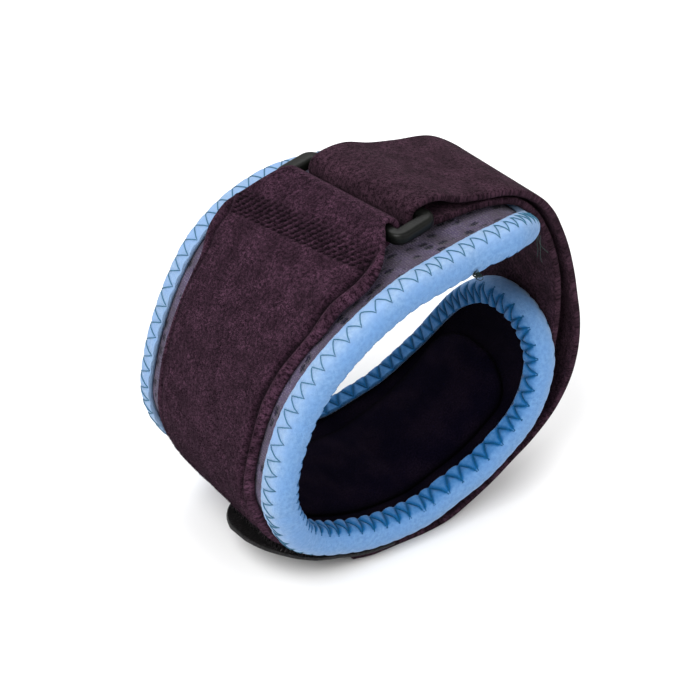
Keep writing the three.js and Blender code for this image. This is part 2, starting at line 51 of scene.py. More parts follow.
# Clearance and walls
GAP = 0.3
LOOP_REACH = 42
PAD_HALF_WIDTH = 33
FOAM_WALL = 3.2
LINING_WALL = 1.1
CUSHION_WALL = 3
CUSHION_HALF_WIDTH = 15.5
TAPE_WALL = 1
TAPE_LEG = 6
TAPE_FOLD_DEPTH = 2.4
TAPE_PLAY = 1.5
PANEL_WALL = 1.6
PANEL_MARGIN = 8.5
PANEL_HALF_WIDTH = PAD_HALF_WIDTH - PANEL_MARGIN
STRAP_WALL = 1.9
STRAP_HALF_WIDTH = 16.3
STRAP_PRESS = 0.2
HOOK_WALL = 1
HOOK_MIDDLE_ACROSS = -7
HOOK_END_ROUND = 13

# Buckle
BUCKLE_BAR = 3.2
BUCKLE_SIDE_BAR = 3.8
BUCKLE_SIDE_PLAY = 1.4
BUCKLE_CORNER = 3.4
BUCKLE_ROUNDING = 1.15
BUCKLE_SLOT = 2.2
BAR_PLAY = 0.5
BUCKLE_YAW = math.radians(11)
BUCKLE_MIDDLE_ALONG = 0.128
BUCKLE_MIDDLE_ACROSS = -0.8

# Outer face of the band seen along +Y: turn in degrees, reach as a share of LOOP_REACH
LOOP_FORM = [
    (49, 1.198), (55, 1.164), (62, 1.074), (70, 0.993), (80, 0.941), (90, 0.921), (100, 0.915),
    (112, 0.906), (122, 0.9), (137, 0.893), (152, 0.883), (169, 0.904), (184, 0.959), (196, 1.021),
    (208, 1.053), (218, 1.057), (230, 1.029), (241, 0.991), (254, 0.965), (267, 0.946), (279, 0.944),
    (292, 0.932), (304, 0.951), (317, 0.975), (329, 1.01), (340, 1.024), (351, 1.024), (363, 1.026),
    (375, 1.057), (385, 1.115), (393, 1.155), (401, 1.19),
]

# Outline of the band laid flat: along as a share of the loop's length, across as a share of PAD_HALF_WIDTH
BAND_OUTLINE = [
    (-0.012, -0.2), (-0.026, -0.46), (-0.022, -0.68), (0.006, -0.83), (0.027, -0.88), (0.07, -0.9),
    (0.126, -0.98), (0.185, -1.03), (0.24, -1.02), (0.3, -0.955), (0.393, -0.94), (0.448, -0.875),
    (0.496, -0.79), (0.589, -0.77), (0.715, -0.77), (0.796, -0.755), (0.837, -0.705), (0.862, -0.575),
    (0.875, -0.39), (0.878, -0.18), (0.873, 0.03), (0.857, 0.24), (0.832, 0.44), (0.797, 0.6), (0.75, 0.71),
    (0.667, 0.8), (0.593, 0.87), (0.52, 0.97), (0.448, 1), (0.37, 0.975), (0.29, 0.97), (0.211, 0.97),
    (0.126, 0.93), (0.078, 0.84), (0.052, 0.66), (0.039, 0.38), (0.024, 0.1),
]

# Rows of the panel and of the strap: along as a share of the loop's length, layers that lie under it, lift
# off its seat, edges or shift as shares of its half width, and the share of the buckle's slant it takes on
PanelRow = namedtuple("PanelRow", "along layers lift near far lean")
PANEL_TAIL = [PanelRow(*row) for row in (
    (0.213, 0, 0, -0.9, 0.88, 0.5), (0.19, 0, 0, -0.88, 0.86, 0.7), (0.167, 0, 0.1, -0.78, 0.72, 0.9),
)]
PANEL_TOP = [PanelRow(*row) for row in (
    (0.16, 1, 0.94, -0.9, 0.73, 0.95), (0.173, 1, 0.4, -1.05, 0.92, 0.8), (0.187, 1, 0.05, -1.1, 1.04, 0.6),
    (0.212, 1, 0, -1.08, 1.0, 0.4), (0.228, 0.4, 0, -1.06, 0.97, 0.2), (0.244, 0, 0, -1.0, 0.92, 0.05),
    (0.267, 0, 0, -0.95, 0.9, 0), (0.29, 0, 0, -0.91, 0.9, 0), (0.315, 0, 0, -0.885, 0.9, 0),
    (0.34, 0, 0, -0.88, 0.9, 0), (0.366, 0, 0, -0.87, 0.89, 0), (0.393, 0, 0, -0.86, 0.88, 0),
    (0.42, 0, 0, -0.845, 0.86, 0), (0.45, 0, 0, -0.82, 0.85, 0), (0.475, 0, 0, -0.81, 0.83, 0),
    (0.5, 0, 0, -0.77, 0.81, 0), (0.533, 0, 0, -0.757, 0.786, 0), (0.566, 0, 0, -0.753, 0.783, 0),
    (0.6, 0, 0, -0.75, 0.77, 0), (0.633, 0, 0, -0.747, 0.75, 0), (0.666, 0, 0, -0.743, 0.72, 0),
    (0.7, 0, 0, -0.74, 0.69, 0), (0.73, 0, 0, -0.74, 0.64, 0), (0.76, 0, 0, -0.74, 0.58, 0),
)]

# The strap's first run lies on the band, and its second on the first
StrapRow = namedtuple("StrapRow", "along lift drop shift lean", defaults=(0,))
STRAP_INNER = [StrapRow(*row) for row in (
    (0.7, 0, 0, -0.06), (0.735, 0, 0, -0.08), (0.77, 0, 0, -0.1), (0.81, 0, 0, -0.14), (0.845, 0, 0, -0.18),
    (0.88, -0.02, 0, -0.21), (0.91, -0.12, 0, -0.23), (0.94, -0.2, 0.1, -0.23), (0.965, -0.18, 0.2, -0.21),
    (0.985, -0.1, 0.24, -0.18), (1.006, -0.06, 0.17, -0.15), (1.03, -0.05, 0.02, -0.11, 0.2),
    (1.058, 0, 0, -0.06, 0.5), (1.085, 0, 0, -0.03, 0.9),
)]
STRAP_OUTER = [StrapRow(*row) for row in (
    (1.09, 0.66, 0, -0.03, 0.9), (1.068, 0.32, 0, -0.07, 0.6), (1.044, 0.1, 0.04, -0.13, 0.4),
    (1.018, 0.03, 0.17, -0.2, 0.2), (0.996, 0.02, 0.32, -0.25, 0.1), (0.976, -0.01, 0.26, -0.28),
    (0.956, -0.06, 0.08, -0.29), (0.934, -0.03, 0, -0.29), (0.91, 0.1, 0, -0.29), (0.885, 0.3, 0, -0.28),
    (0.855, 0.53, 0, -0.28), (0.825, 0.62, 0, -0.28), (0.8, 0.6, 0, -0.28), (0.775, 0.47, 0, -0.28),
    (0.75, 0.29, 0, -0.28), (0.725, 0.18, 0, -0.28), (0.7, 0.18, 0, -0.28), (0.675, 0.25, 0, -0.28),
    (0.65, 0.3, 0, -0.28), (0.625, 0.24, 0, -0.28), (0.6, 0.1, 0, -0.28), (0.575, 0.03, 0, -0.28),
    (0.555, -0.04, 0, -0.28),
)]

HookRow = namedtuple("HookRow", "along lift drop")
HOOK_RUN = [HookRow(*row) for row in (
    (0.59, 0, 0), (0.57, 0, 0), (0.55, 0, 0), (0.53, 0, 0.02), (0.515, 0.05, 0.03), (0.5, 0.17, 0.04),
    (0.484, 0.4, 0.05), (0.468, 0.74, 0.06),
)]
CUSHION_START = 0.44
CUSHION_END = 0.8
CUSHION_END_ROUND = 12
CUSHION_ACROSS = -0.6


def curve_through(points, steps, closed=False):
    """Points of a smooth curve through the given ones, with so many steps from each to the next."""
    p = np.asarray(points, float)
    if closed:
        p = np.vstack([p[-1], p, p[0], p[1]])
    else:
        p = np.vstack([2 * p[0] - p[1], p, 2 * p[-1] - p[-2]])
    w = (np.arange(steps) / steps)[:, None]
    made = []
    for a, b, c, d in zip(p, p[1:], p[2:], p[3:]):
        before, here, after = (math.sqrt(max(np.linalg.norm(v), 1e-9)) for v in (b - a, c - b, d - c))
        leave = ((b - a) / before - (c - a) / (before + here) + (c - b) / here) * here
        arrive = ((c - b) / here - (d - b) / (here + after) + (d - c) / after) * here
        made.append(
            b + w * leave + w**2 * (3 * (c - b) - 2 * leave - arrive) + w**3 * (2 * (b - c) + leave + arrive)
        )
    made.append(p[-2][None])
    return np.vstack(made)


def lengths_along(points):
    return np.concatenate([[0], np.cumsum(np.linalg.norm(np.diff(points, axis=0), axis=1))])


def unit(vectors):
    return vectors / np.linalg.norm(vectors, axis=-1, keepdims=True)


def at_length(places, lengths, values):
    """Rows of values between known lengths."""
    return np.stack([np.interp(places, lengths, column) for column in np.asarray(values).T], axis=-1)


# The loop in the XZ plane, and the directions out of it
CURVE_STEPS = 40


def from_middle(turn, reach):
    turn, reach = math.radians(turn), reach * LOOP_REACH
    return reach * math.cos(turn), reach * math.sin(turn)


def steps_along(line):
    """The run of a closed line at each of its points."""
    return np.gradient(np.vstack([line[-2], line, line[1]]), axis=0)[1:-1]


loop_line = curve_through([from_middle(*row) for row in LOOP_FORM], CURVE_STEPS, closed=True)
loop_lengths = lengths_along(loop_line)
LOOP_LENGTH = loop_lengths[-1]
loop_step = steps_along(loop_line)
loop_out = unit(np.stack([loop_step[:, 1], -loop_step[:, 0]], axis=-1))


# How far the near edge is drawn in towards the loop's middle: share of the loop's length, millimetres
DRAWN_IN = [
    (0.36, 0), (0.395, 1), (0.43, 2.3), (0.47, 1.9), (0.52, 1), (0.6, 1.1), (0.67, 1.8), (0.73, 1.5),
    (0.8, 0.8), (0.88, 0),
]
DRAWN_FROM, DRAWN_TO = -6, -30


def on_loop(distance, y, height):
    """Points at a distance along the loop, at y across it, raised off the band's outer face."""
    distance, y, height = np.broadcast_arrays(np.asarray(distance, float), y, height)
    place = np.mod(distance, LOOP_LENGTH)
    near_share = np.clip((y - DRAWN_FROM) / (DRAWN_TO - DRAWN_FROM), 0, 1)
    height = height - near_share * np.interp(place / LOOP_LENGTH, *zip(*DRAWN_IN))
    x, z = (np.interp(place, loop_lengths, loop_line[:, k]) for k in (0, 1))
    out = unit(at_length(place.ravel(), loop_lengths, loop_out)).reshape(*place.shape, 2)
    return np.stack([x + out[..., 0] * height, y, z + out[..., 1] * height], axis=-1)


# Heights over the band's outer face
LINING_TOP = -FOAM_WALL - GAP
LINING_FACE = LINING_TOP - LINING_WALL
TAPE_MIDDLE = LINING_FACE / 2
TAPE_HALF = GAP + TAPE_WALL - TAPE_MIDDLE
PANEL_SEAT = GAP + PANEL_WALL / 2
HOOK_SEAT = PANEL_SEAT + (PANEL_WALL + HOOK_WALL) / 2 + GAP
STRAP_SEAT = GAP + max(PANEL_WALL, TAPE_WALL) + GAP + STRAP_WALL / 2
STRAP_TURN = BUCKLE_BAR / 2 + BAR_PLAY + STRAP_WALL / 2
PANEL_TURN = BUCKLE_BAR / 2 + BAR_PLAY + PANEL_WALL / 2
BUCKLE_HEIGHT = STRAP_SEAT + STRAP_TURN
BAR_REACH = BUCKLE_SLOT / 2 + (STRAP_WALL + PANEL_WALL) / 2 + BAR_PLAY + BUCKLE_BAR / 2
HOLE_HALF_LENGTH = STRAP_HALF_WIDTH + BUCKLE_SIDE_PLAY
FOLD_NEAR = BUCKLE_MIDDLE_ACROSS - HOLE_HALF_LENGTH + 2 * BAR_PLAY
FOLD_FAR = BUCKLE_MIDDLE_ACROSS + HOLE_HALF_LENGTH - 2 * BAR_PLAY

buckle_distance = BUCKLE_MIDDLE_ALONG * LOOP_LENGTH
buckle_middle = on_loop(buckle_distance, BUCKLE_MIDDLE_ACROSS, BUCKLE_HEIGHT)
buckle_up = on_loop(buckle_distance, 0, 1) - on_loop(buckle_distance, 0, 0)
buckle_run = np.cross(buckle_up, [0, 1, 0])

# From the loop's own frame, in millimetres, to the row's frame, in metres
buckle_low, buckle_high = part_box("buckle")
SHIFT = np.array((buckle_low + buckle_high) / 2) / MM - buckle_middle
LOWEST = min(loop_line[:, 1])
STRAP_LOWEST = LOWEST - HOOK_SEAT - (HOOK_WALL + STRAP_WALL) / 2 - GAP
RESTS_ON = STRAP_LOWEST - STRAP_WALL / 2 + STRAP_PRESS


def in_row_frame(points):
    return (np.asarray(points) + SHIFT) * MM


# The band's outline laid flat, with the directions into it
outline_line = curve_through(
    [(along * LOOP_LENGTH, across * PAD_HALF_WIDTH) for along, across in BAND_OUTLINE],
    CURVE_STEPS,
    closed=True,
)
outline_lengths = lengths_along(outline_line)
OUTLINE_LENGTH = outline_lengths[-1]
outline_step = steps_along(outline_line)
outline_in = unit(np.stack([-outline_step[:, 1], outline_step[:, 0]], axis=-1))


def on_band(place, inward, height):
    """Points at a length along the band's outline, so far in from it, raised off the band's outer face."""
    place, inward, height = np.broadcast_arrays(np.asarray(place, float), inward, height)
    turned = np.mod(place, OUTLINE_LENGTH).ravel()
    flat = at_length(turned, outline_lengths, outline_line).reshape(*place.shape, 2)
    way = unit(at_length(turned, outline_lengths, outline_in)).reshape(*place.shape, 2)
    flat = flat + way * inward[..., None]
    return on_loop(flat[..., 0], flat[..., 1], height)


def soft_spot(distance, reach):
    return np.exp(-((distance / reach) ** 2))


def rippled(along, across, long_reach, wide_reach, seed):
    """Uneven waves from -1 to 1 over a face."""
    places = zip(along.ravel() / long_reach, across.ravel() / wide_reach)
    return np.reshape([noise.noise(Vector((a, b, seed))) for a, b in places], along.shape)


def new_piece(name, points, faces, material, flat=None, marks=None):
    """A mesh piece from points in the loop's frame, with its flat layout in metres as its UV map."""
    mesh = bpy.data.meshes.new(name)
    mesh.from_pydata(in_row_frame(points).tolist(), [], faces)
    mesh.polygons.foreach_set("use_smooth", [True] * len(mesh.polygons))
    if flat is not None:
        corners = np.empty(len(mesh.loops), dtype=np.int32)
        mesh.loops.foreach_get("vertex_index", corners)
        layer = mesh.uv_layers.new(name="flat")
        layer.data.foreach_set("uv", (np.asarray(flat)[corners] * MM).ravel())
    for mark, values in (marks or {}).items():
        attribute = mesh.attributes.new(mark, "FLOAT", "POINT")
        attribute.data.foreach_set("value", np.asarray(values, np.float32).ravel())
    mesh.materials.append(material)
    piece = bpy.data.objects.new(name, mesh)
    bpy.context.scene.collection.objects.link(piece)
    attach(piece, "root")
    return piece


def grid_faces(rows, columns, closed_rows=False, closed_columns=False):
    made = []
    for i in range(rows if closed_rows else rows - 1):
        for k in range(columns if closed_columns else columns - 1):
            here, below = i * columns, (i + 1) % rows * columns
            side = (k + 1) % columns
            made.append((here + k, here + side, below + side, below + k))
    return made


class Strip:
    """A strip's two edges, each a smooth curve through its rows, with the directions out of the strip."""

    def __init__(self, near, far, step):
        self.edges = [curve_through(edge, 12) for edge in (near, far)]
        self.edge_lengths = lengths_along(sum(self.edges) / 2)
        self.length = self.edge_lengths[-1]
        self.cut(np.linspace(0, self.length, round(self.length / step) + 1))

    def cut(self, places):
        """Makes the strip's rings at these lengths."""
        self.places = places
        self.near, self.far = (at_length(places, self.edge_lengths, edge) for edge in self.edges)
        self.near_out, self.far_out = (self.outward(edge) for edge in (self.near, self.far))

    def refine(self, low, high, step):
        outside = self.places[(self.places < low) | (self.places > high)]
        inside = np.linspace(low, high, round((high - low) / step) + 1)
        self.cut(np.sort(np.concatenate([outside, inside])))

    @staticmethod
    def outward(edge):
        run = np.vstack([edge[1] - edge[0], edge[2:] - edge[:-2], edge[-1] - edge[-2]])
        return unit(np.stack([run[:, 2], 0 * run[:, 0], -run[:, 0]], axis=-1))

    def points(self, share, height):
        """Points at a share of the way from the near edge to the far one, raised off the middle plane."""
        edges = self.near, self.far, self.near_out, self.far_out
        near, far, near_out, far_out = (values[:, None] for values in edges)
        share, height = share[..., None], height[..., None]
        out = unit(near_out + (far_out - near_out) * share)
        return near + (far - near) * share + out * height

    def across(self, share):
        return self.near[:, None, 1] + (self.far - self.near)[:, None, 1] * share

    def place_of(self, point):
        """Length along the strip of the ring nearest to a point in the XZ plane."""
        middle = (self.near + self.far) / 2
        return self.places[np.argmin(np.linalg.norm(middle[:, [0, 2]] - np.asarray(point), axis=1))]


EDGE_STEPS = 7


def strip_piece(name, strip, wall, shares, material, relief=None, lowest=None):
    """A closed strip of cloth, whose outer face a relief raises by place and distance across, and marks with
    painted shade.
    """
    width = np.abs(strip.far - strip.near)[:, 1:2]
    round_share = wall / 2 / width
    angle = np.linspace(QUARTER_TURN, -QUARTER_TURN, EDGE_STEPS + 2)[1:-1]
    turn = round_share * np.cos(angle) ** 0.7
    side = wall / 2 * np.sign(np.sin(angle)) * np.abs(np.sin(angle)) ** 0.8
    side = np.broadcast_to(side, turn.shape)
    upper, lower = (round_share + values * (1 - 2 * round_share) for values in (shares, shares[::-4]))
    top, bottom = np.full(upper.shape, wall / 2), np.full(lower.shape, -wall / 2)
    marks = np.zeros(upper.shape)
    if relief:
        raised, marks = relief(np.broadcast_to(strip.places[:, None], upper.shape), strip.across(upper))
        top = top + raised
    share = np.hstack([upper, 1 - round_share + turn, lower, (round_share - turn)[:, ::-1]])
    points = strip.points(share, np.hstack([top, side, bottom, side[:, ::-1]]))
    if lowest is not None:
        points[..., 2] = np.maximum(points[..., 2], lowest)
    rows, columns = share.shape
    faces = grid_faces(rows, columns, closed_columns=True)
    faces += [tuple(range(columns)), tuple(range(rows * columns - 1, (rows - 1) * columns - 1, -1))]
    layout = np.stack([np.broadcast_to(strip.places[:, None], share.shape), strip.across(share)], axis=-1)
    hollow = np.zeros(share.shape)
    # Painted shade where the relief marks it
    hollow[:, :upper.shape[1]] = marks
    piece = new_piece(
        name, points.reshape(-1, 3), faces, material, layout.reshape(-1, 2), {"hollow": hollow.ravel()}
    )
    face_outwards(piece)
    strip.face = points[:, :upper.shape[1]]
    strip.face_out = strip.face - points[:, -EDGE_STEPS - upper.shape[1] // 4:][:, :1]
    strip.face_hollow = marks
    return piece


def face_outwards(piece):
    bpy.ops.object.select_all(action="DESELECT")
    piece.select_set(True)
    bpy.context.view_layer.objects.active = piece
    bpy.ops.object.mode_set(mode="EDIT")
    bpy.ops.mesh.select_all(action="SELECT")
    bpy.ops.mesh.normals_make_consistent(inside=False)
    bpy.ops.object.mode_set(mode="OBJECT")


# Materials

def start_material(name, inputs):
    """A material whose shader has these inputs set."""
    material = bpy.data.materials.new(name)
    material.use_nodes = True
    tree = material.node_tree
    for key, value in inputs.items():
        tree.nodes["Principled BSDF"].inputs[key].default_value = value
    return material, tree


def finished(material, colour, height=None, depth=0):
    """The material with its colour linked, and a bump of so many millimetres where the height is 1."""
    tree = material.node_tree
    shader = tree.nodes["Principled BSDF"]
    tree.links.new(colour, shader.inputs["Base Color"])
    if height is not None:
        bump = node(tree, "Bump", values={"Height": height, "Distance": depth * MM, "Strength": 1})
        tree.links.new(bump.outputs["Normal"], shader.inputs["Normal"])
    return material


def node(tree, kind, settings=None, values=None):
    """A shader node. A value that is a socket is linked, and any other is set."""
    made = tree.nodes.new("ShaderNode" + kind)
    for key, value in (settings or {}).items():
        setattr(made, key, value)
    for key, value in (values or {}).items():
        if isinstance(value, bpy.types.NodeSocket):
            tree.links.new(value, made.inputs[key])
        else:
            made.inputs[key].default_value = value
    return made


def flat_place(tree, along=1):
    """The piece's own flat layout in millimetres, its length taken at a share."""
    layout = node(tree, "UVMap", {"uv_map": "flat"}).outputs["UV"]
    scale = (along / MM, 1 / MM, 1)
    return node(tree, "Mapping", values={"Vector": layout, "Scale": scale}).outputs["Vector"]


def cloud(tree, place, size, detail=2, roughness=0.5):
    """Noise with blots of about the given size in millimetres."""
    settings = {"noise_dimensions": "3D"}
    values = {"Vector": place, "Scale": 1 / size, "Detail": detail, "Roughness": roughness}
    return node(tree, "TexNoise", settings, values).outputs["Fac"]


def ramp(tree, factor, low, high):
    """The factor stretched so that low gives 0 and high gives 1."""
    values = {"Value": factor, "From Min": low, "From Max": high}
    return node(tree, "MapRange", {"interpolation_type": "SMOOTHSTEP"}, values).outputs["Result"]


def mixed(tree, factor, first, second):
    made = node(tree, "Mix", {"data_type": "RGBA"}, {0: factor})
    for index, colour in ((6, first), (7, second)):
        if isinstance(colour, bpy.types.NodeSocket):
            tree.links.new(colour, made.inputs[index])
        else:
            made.inputs[index].default_value = (*colour, 1)
    return made.outputs[2]


def sum_of(tree, first, second, operation="ADD"):
    return node(tree, "Math", {"operation": operation}, {0: first, 1: second}).outputs[0]


def scaled(tree, value, share):
    return sum_of(tree, value, share, "MULTIPLY")


def multiplied(tree, first, second):
    settings = {"data_type": "RGBA", "blend_type": "MULTIPLY"}
    return node(tree, "Mix", settings, {0: 1.0, 6: first, 7: second}).outputs[2]


def object_place(tree):
    """The place on the piece in millimetres."""
    place = node(tree, "TexCoord").outputs["Object"]
    return node(tree, "Mapping", values={"Vector": place, "Scale": (1 / MM,) * 3}).outputs["Vector"]


def cells(tree, place, size, unevenness):
    """Distance to the middle of the nearest of many cells of about the given size in millimetres."""
    values = {"Vector": place, "Scale": 1 / size, "Randomness": unevenness}
    return node(tree, "TexVoronoi", {"feature": "F1"}, values).outputs["Distance"]


def mark(tree, name):
    return node(tree, "Attribute", {"attribute_name": name}).outputs["Fac"]


def velour_material(name, dark, lit):
    """Brushed loop velour: dark between the tufts, lit at their tips, with strokes lying over each other, and
    near black with painted shade where marked.
    """
    material, tree = start_material(name, {
        "Roughness": 0.95, "Sheen Weight": 0.05, "Sheen Roughness": 0.4, "Sheen Tint": (0.6, 0.4, 0.5, 1),
        "Specular IOR Level": 0.03,
    })
    place = flat_place(tree)
    fibres, tufts = cloud(tree, place, 0.3, 4, 0.7), cloud(tree, place, 0.85, 3, 0.65)
    speckle = sum_of(tree, scaled(tree, fibres, 0.55), scaled(tree, tufts, 0.45))
    nap = mixed(tree, ramp(tree, speckle, 0.4, 0.6), dark, lit)
    stroked = mixed(tree, ramp(tree, cloud(tree, place, 5, 3), 0.3, 0.72), [0.62] * 3, [1.25] * 3)
    # Painted shade: near black where the piece is marked, in seam grooves, stitch holes and folds
    velour_with_shade = mixed(tree, mark(tree, "hollow"), multiplied(tree, nap, stroked), (0.003, 0.002, 0.003))
    return finished(material, velour_with_shade, speckle, 0.7)


def nap_material(name, dark, lit):
    """Single fibres of the nap, each of its own tone, with painted shade at the root."""
    material, tree = start_material(name, {"Roughness": 0.8, "Specular IOR Level": 0.04})
    shade = mixed(tree, mark(tree, "shade"), dark, lit)
    dusty = mixed(tree, ramp(tree, cloud(tree, object_place(tree), 4, 3), 0.35, 0.7), shade, lit)
    return finished(material, mixed(tree, 0.3, shade, dusty))


def mesh_fabric_material():
    """Spacer mesh: fine pores, ragged dark dashes and cloudy shades."""
    material, tree = start_material("lilac_spacer_mesh", {
        "Roughness": 0.9, "Sheen Weight": 0.1, "Specular IOR Level": 0.12,
    })
    place = flat_place(tree)
    pores = ramp(tree, cells(tree, place, 0.7, 0.4), 0.2, 0.5)
    spots = cells(tree, flat_place(tree, along=0.55), 2.1, 0.55)
    ragged = sum_of(tree, spots, scaled(tree, cloud(tree, place, 0.6, 3), 0.6))
    dashes = ramp(tree, ragged, 0.72, 0.5)
    base = mixed(tree, pores, (0.15, 0.12, 0.195), (0.085, 0.067, 0.12))
    cloudy = mixed(tree, ramp(tree, cloud(tree, place, 5, 3), 0.35, 0.7), (0.07, 0.055, 0.085), base)
    spotted = mixed(tree, dashes, cloudy, (0.012, 0.01, 0.025))
    # Painted shade: near black where the piece is marked
    colour = mixed(tree, mark(tree, "hollow"), spotted, (0.012, 0.01, 0.02))
    hollows = sum_of(tree, scaled(tree, pores, 0.5), dashes)
    return finished(material, colour, sum_of(tree, 1.5, hollows, "SUBTRACT"), 0.4)


def tape_material():
    """Soft knitted tape: pale on the outer leg and the fold, bluer with painted shade on the leg inside the
    band, and dark teal with painted shade along the stitches' grooves.
    """
    material, tree = start_material("light_blue_tape", {
        "Roughness": 0.8, "Sheen Weight": 0.12, "Specular IOR Level": 0.12, "Subsurface Weight": 0.06,
        "Subsurface Radius": (0.0006, 0.0008, 0.0012),
    })
    place = flat_place(tree)
    fluff = cloud(tree, place, 1.1, 4, 0.6)
    fluffy, broad = ramp(tree, fluff, 0.3, 0.7), ramp(tree, cloud(tree, place, 6, 3), 0.3, 0.7)
    pale = mixed(tree, fluffy, (0.175, 0.275, 0.43), (0.235, 0.345, 0.5))
    pale = mixed(tree, broad, pale, (0.185, 0.3, 0.5))
    shaded_blue = mixed(tree, fluffy, (0.036, 0.15, 0.37), (0.075, 0.22, 0.47))
    # The inner leg's bluer colour is painted shade
    legs = mixed(tree, mark(tree, "inside"), pale, shaded_blue)
    # Painted shade, dark teal, in the stitches' dips and grooves
    colour = mixed(tree, mark(tree, "hollow"), legs, (0.0, 0.08, 0.24))
    knit = cells(tree, place, 0.42, 0.6)
    return finished(material, colour, sum_of(tree, fluff, scaled(tree, knit, 0.4)), 0.2)


def thread_material(name, colour):
    material, tree = start_material(name, {"Roughness": 0.55, "Specular IOR Level": 0.15})
    place = node(tree, "TexCoord").outputs["Object"]
    settings = {"bands_direction": "DIAGONAL"}
    twist = node(tree, "TexWave", settings, {"Vector": place, "Scale": 1.2 / MM}).outputs["Fac"]
    return finished(material, mixed(tree, twist, [c * 0.6 for c in colour], colour), twist, 0.05)


def lining_material(name, lightness):
    """Black brushed cloth, lighter where it is stretched and worn, and black where painted shade is marked.
    """
    material, tree = start_material(name, {
        "Roughness": 0.95, "Sheen Weight": 0.015, "Sheen Tint": (0.5, 0.42, 0.6, 1),
        "Specular IOR Level": 0.01,
    })
    place = flat_place(tree)
    nap = cloud(tree, place, 0.4, 3, 0.6)
    lit = ramp(tree, nap, 0.35, 0.7)
    brushed = mixed(tree, lit, (0.0006, 0.0004, 0.0022), (0.0028, 0.0019, 0.006))
    worn = mixed(tree, lit, (0.0016, 0.001, 0.003), (0.0065, 0.004, 0.009))
    colour = mixed(tree, ramp(tree, cloud(tree, place, 9, 3), 0.38, 0.66), brushed, worn)
    # Painted shade: black where the piece is marked
    colour = mixed(tree, mark(tree, "hollow"), colour, (0, 0, 0))
    return finished(material, multiplied(tree, colour, (lightness, lightness, lightness, 1)), nap, 0.35)


def buckle_material():
    material, tree = start_material("black_moulded_plastic", {"Roughness": 0.36, "Specular IOR Level": 0.12})
    place = object_place(tree)
    grain = cloud(tree, place, 0.35, 3)
    rough = node(tree, "MapRange", values={"Value": grain, "To Min": 0.26, "To Max": 0.4}).outputs["Result"]
    tree.links.new(rough, tree.nodes["Principled BSDF"].inputs["Roughness"])
    wear = ramp(tree, cloud(tree, place, 3, 3), 0.4, 0.7)
    colour = mixed(tree, wear, (0.0025, 0.0028, 0.0025), (0.005, 0.0055, 0.0045))
    return finished(material, colour, grain, 0.02)


def hook_material(name, dark, lit):
    material, tree = start_material(name, {"Roughness": 0.55, "Specular IOR Level": 0.2})
    place = object_place(tree)
    shade = mixed(tree, ramp(tree, cloud(tree, place, 0.4, 2, 0.8), 0.5, 0.64), dark, lit)
    return finished(material, shade, cloud(tree, place, 0.5, 2), 0.15)


def floor_material():
    material, tree = start_material("pale_floor", {"Roughness": 0.9})
    place = node(tree, "TexCoord").outputs["Object"]
    return finished(material, mixed(tree, cloud(tree, place, 0.4), (0.86, 0.86, 0.865), (0.9, 0.9, 0.9)))


velour = velour_material("brown_black_velour", (0.0078, 0.0031, 0.0062), (0.069, 0.0305, 0.053))
strap_velour = velour_material("brown_black_strap_velour", (0.006, 0.0024, 0.0045), (0.052, 0.0245, 0.0385))
nap_fibres = nap_material("velour_nap", (0.007, 0.003, 0.006), (0.068, 0.034, 0.055))
spacer_mesh = mesh_fabric_material()
tape_cloth = tape_material()
lining_cloth = lining_material("black_brushed_lining", 1)
cushion_cloth = lining_material("black_cushion_cloth", 1.5)
outer_thread = thread_material("teal_thread", (0.05, 0.165, 0.26))
inner_thread = thread_material("deep_blue_thread", (0.0, 0.085, 0.22))
loose_thread = thread_material("dark_green_thread", (0.014, 0.028, 0.026))
plastic = buckle_material()
hook_nylon = hook_material("black_hook_base", (0.002, 0.002, 0.0022), (0.03, 0.027, 0.029))
# The bristles are the same black nylon as the base, painted lighter: painted highlight
lit_bristle_nylon = hook_material("painted_lit_hook_bristles", (0.006, 0.006, 0.007), (0.09, 0.08, 0.085))


# The band

LAYER_INSET = TAPE_WALL + TAPE_PLAY
LAYER_END = 11
LAYER_END_ROWS = 16
LAYER_STEP = 1.2


def end_to_end(start, end, turn, turn_rows, middle_rows):
    """Places from a start to an end, closer together over the turn at either one."""
    turned = (1 - np.cos(np.linspace(0, QUARTER_TURN, turn_rows))) * turn
    middle = np.linspace(start + turn, end - turn, middle_rows)
    return np.concatenate([start + turned[:-1], middle, (end - turned[:-1])[::-1]])


def inset_edges():
    """Near and far edge of the band's outline, inset, at distances along the loop."""
    line = outline_line + outline_in * LAYER_INSET
    start, end = line[:, 0].min() + GAP, line[:, 0].max() - GAP
    middle_rows = round((end - start - 2 * LAYER_END) / LAYER_STEP) + 1
    distances = end_to_end(start, end, LAYER_END, LAYER_END_ROWS, middle_rows)
    a, b = line[:-1], line[1:]
    near, far = [], []
    for distance in distances:
        crossed = (a[:, 0] < distance) != (b[:, 0] < distance)
        share = (distance - a[crossed, 0]) / (b[crossed, 0] - a[crossed, 0])
        y = a[crossed, 1] + share * (b[crossed, 1] - a[crossed, 1])
        near.append(y.min())
        far.append(y.max())
    return distances, np.array(near), np.array(far)


def closed_layer(name, along, y, face, back, material, hollow=None):
    """A closed layer between its face and its back, given by their heights over the band's outer face."""
    upper, lower = on_loop(along, y, face), on_loop(along, y, back)
    points = np.concatenate([upper, lower[:, ::-1]], axis=1)
    rows, count = points.shape[:2]
    faces = grid_faces(rows, count, closed_columns=True)
    for start in (0, (rows - 1) * count):
        for k in range(count // 2 - 1):
            faces.append((start + k, start + k + 1, start + count - 2 - k, start + count - 1 - k))
    flat = np.stack([along, y], -1)
    layout = np.concatenate([flat, flat[:, ::-1]], axis=1).reshape(-1, 2)
    marks = {"hollow": np.zeros((rows, count)) if hollow is None else hollow}
    piece = new_piece(name, points.reshape(-1, 3), faces, material, layout, marks)
    face_outwards(piece)
    return piece


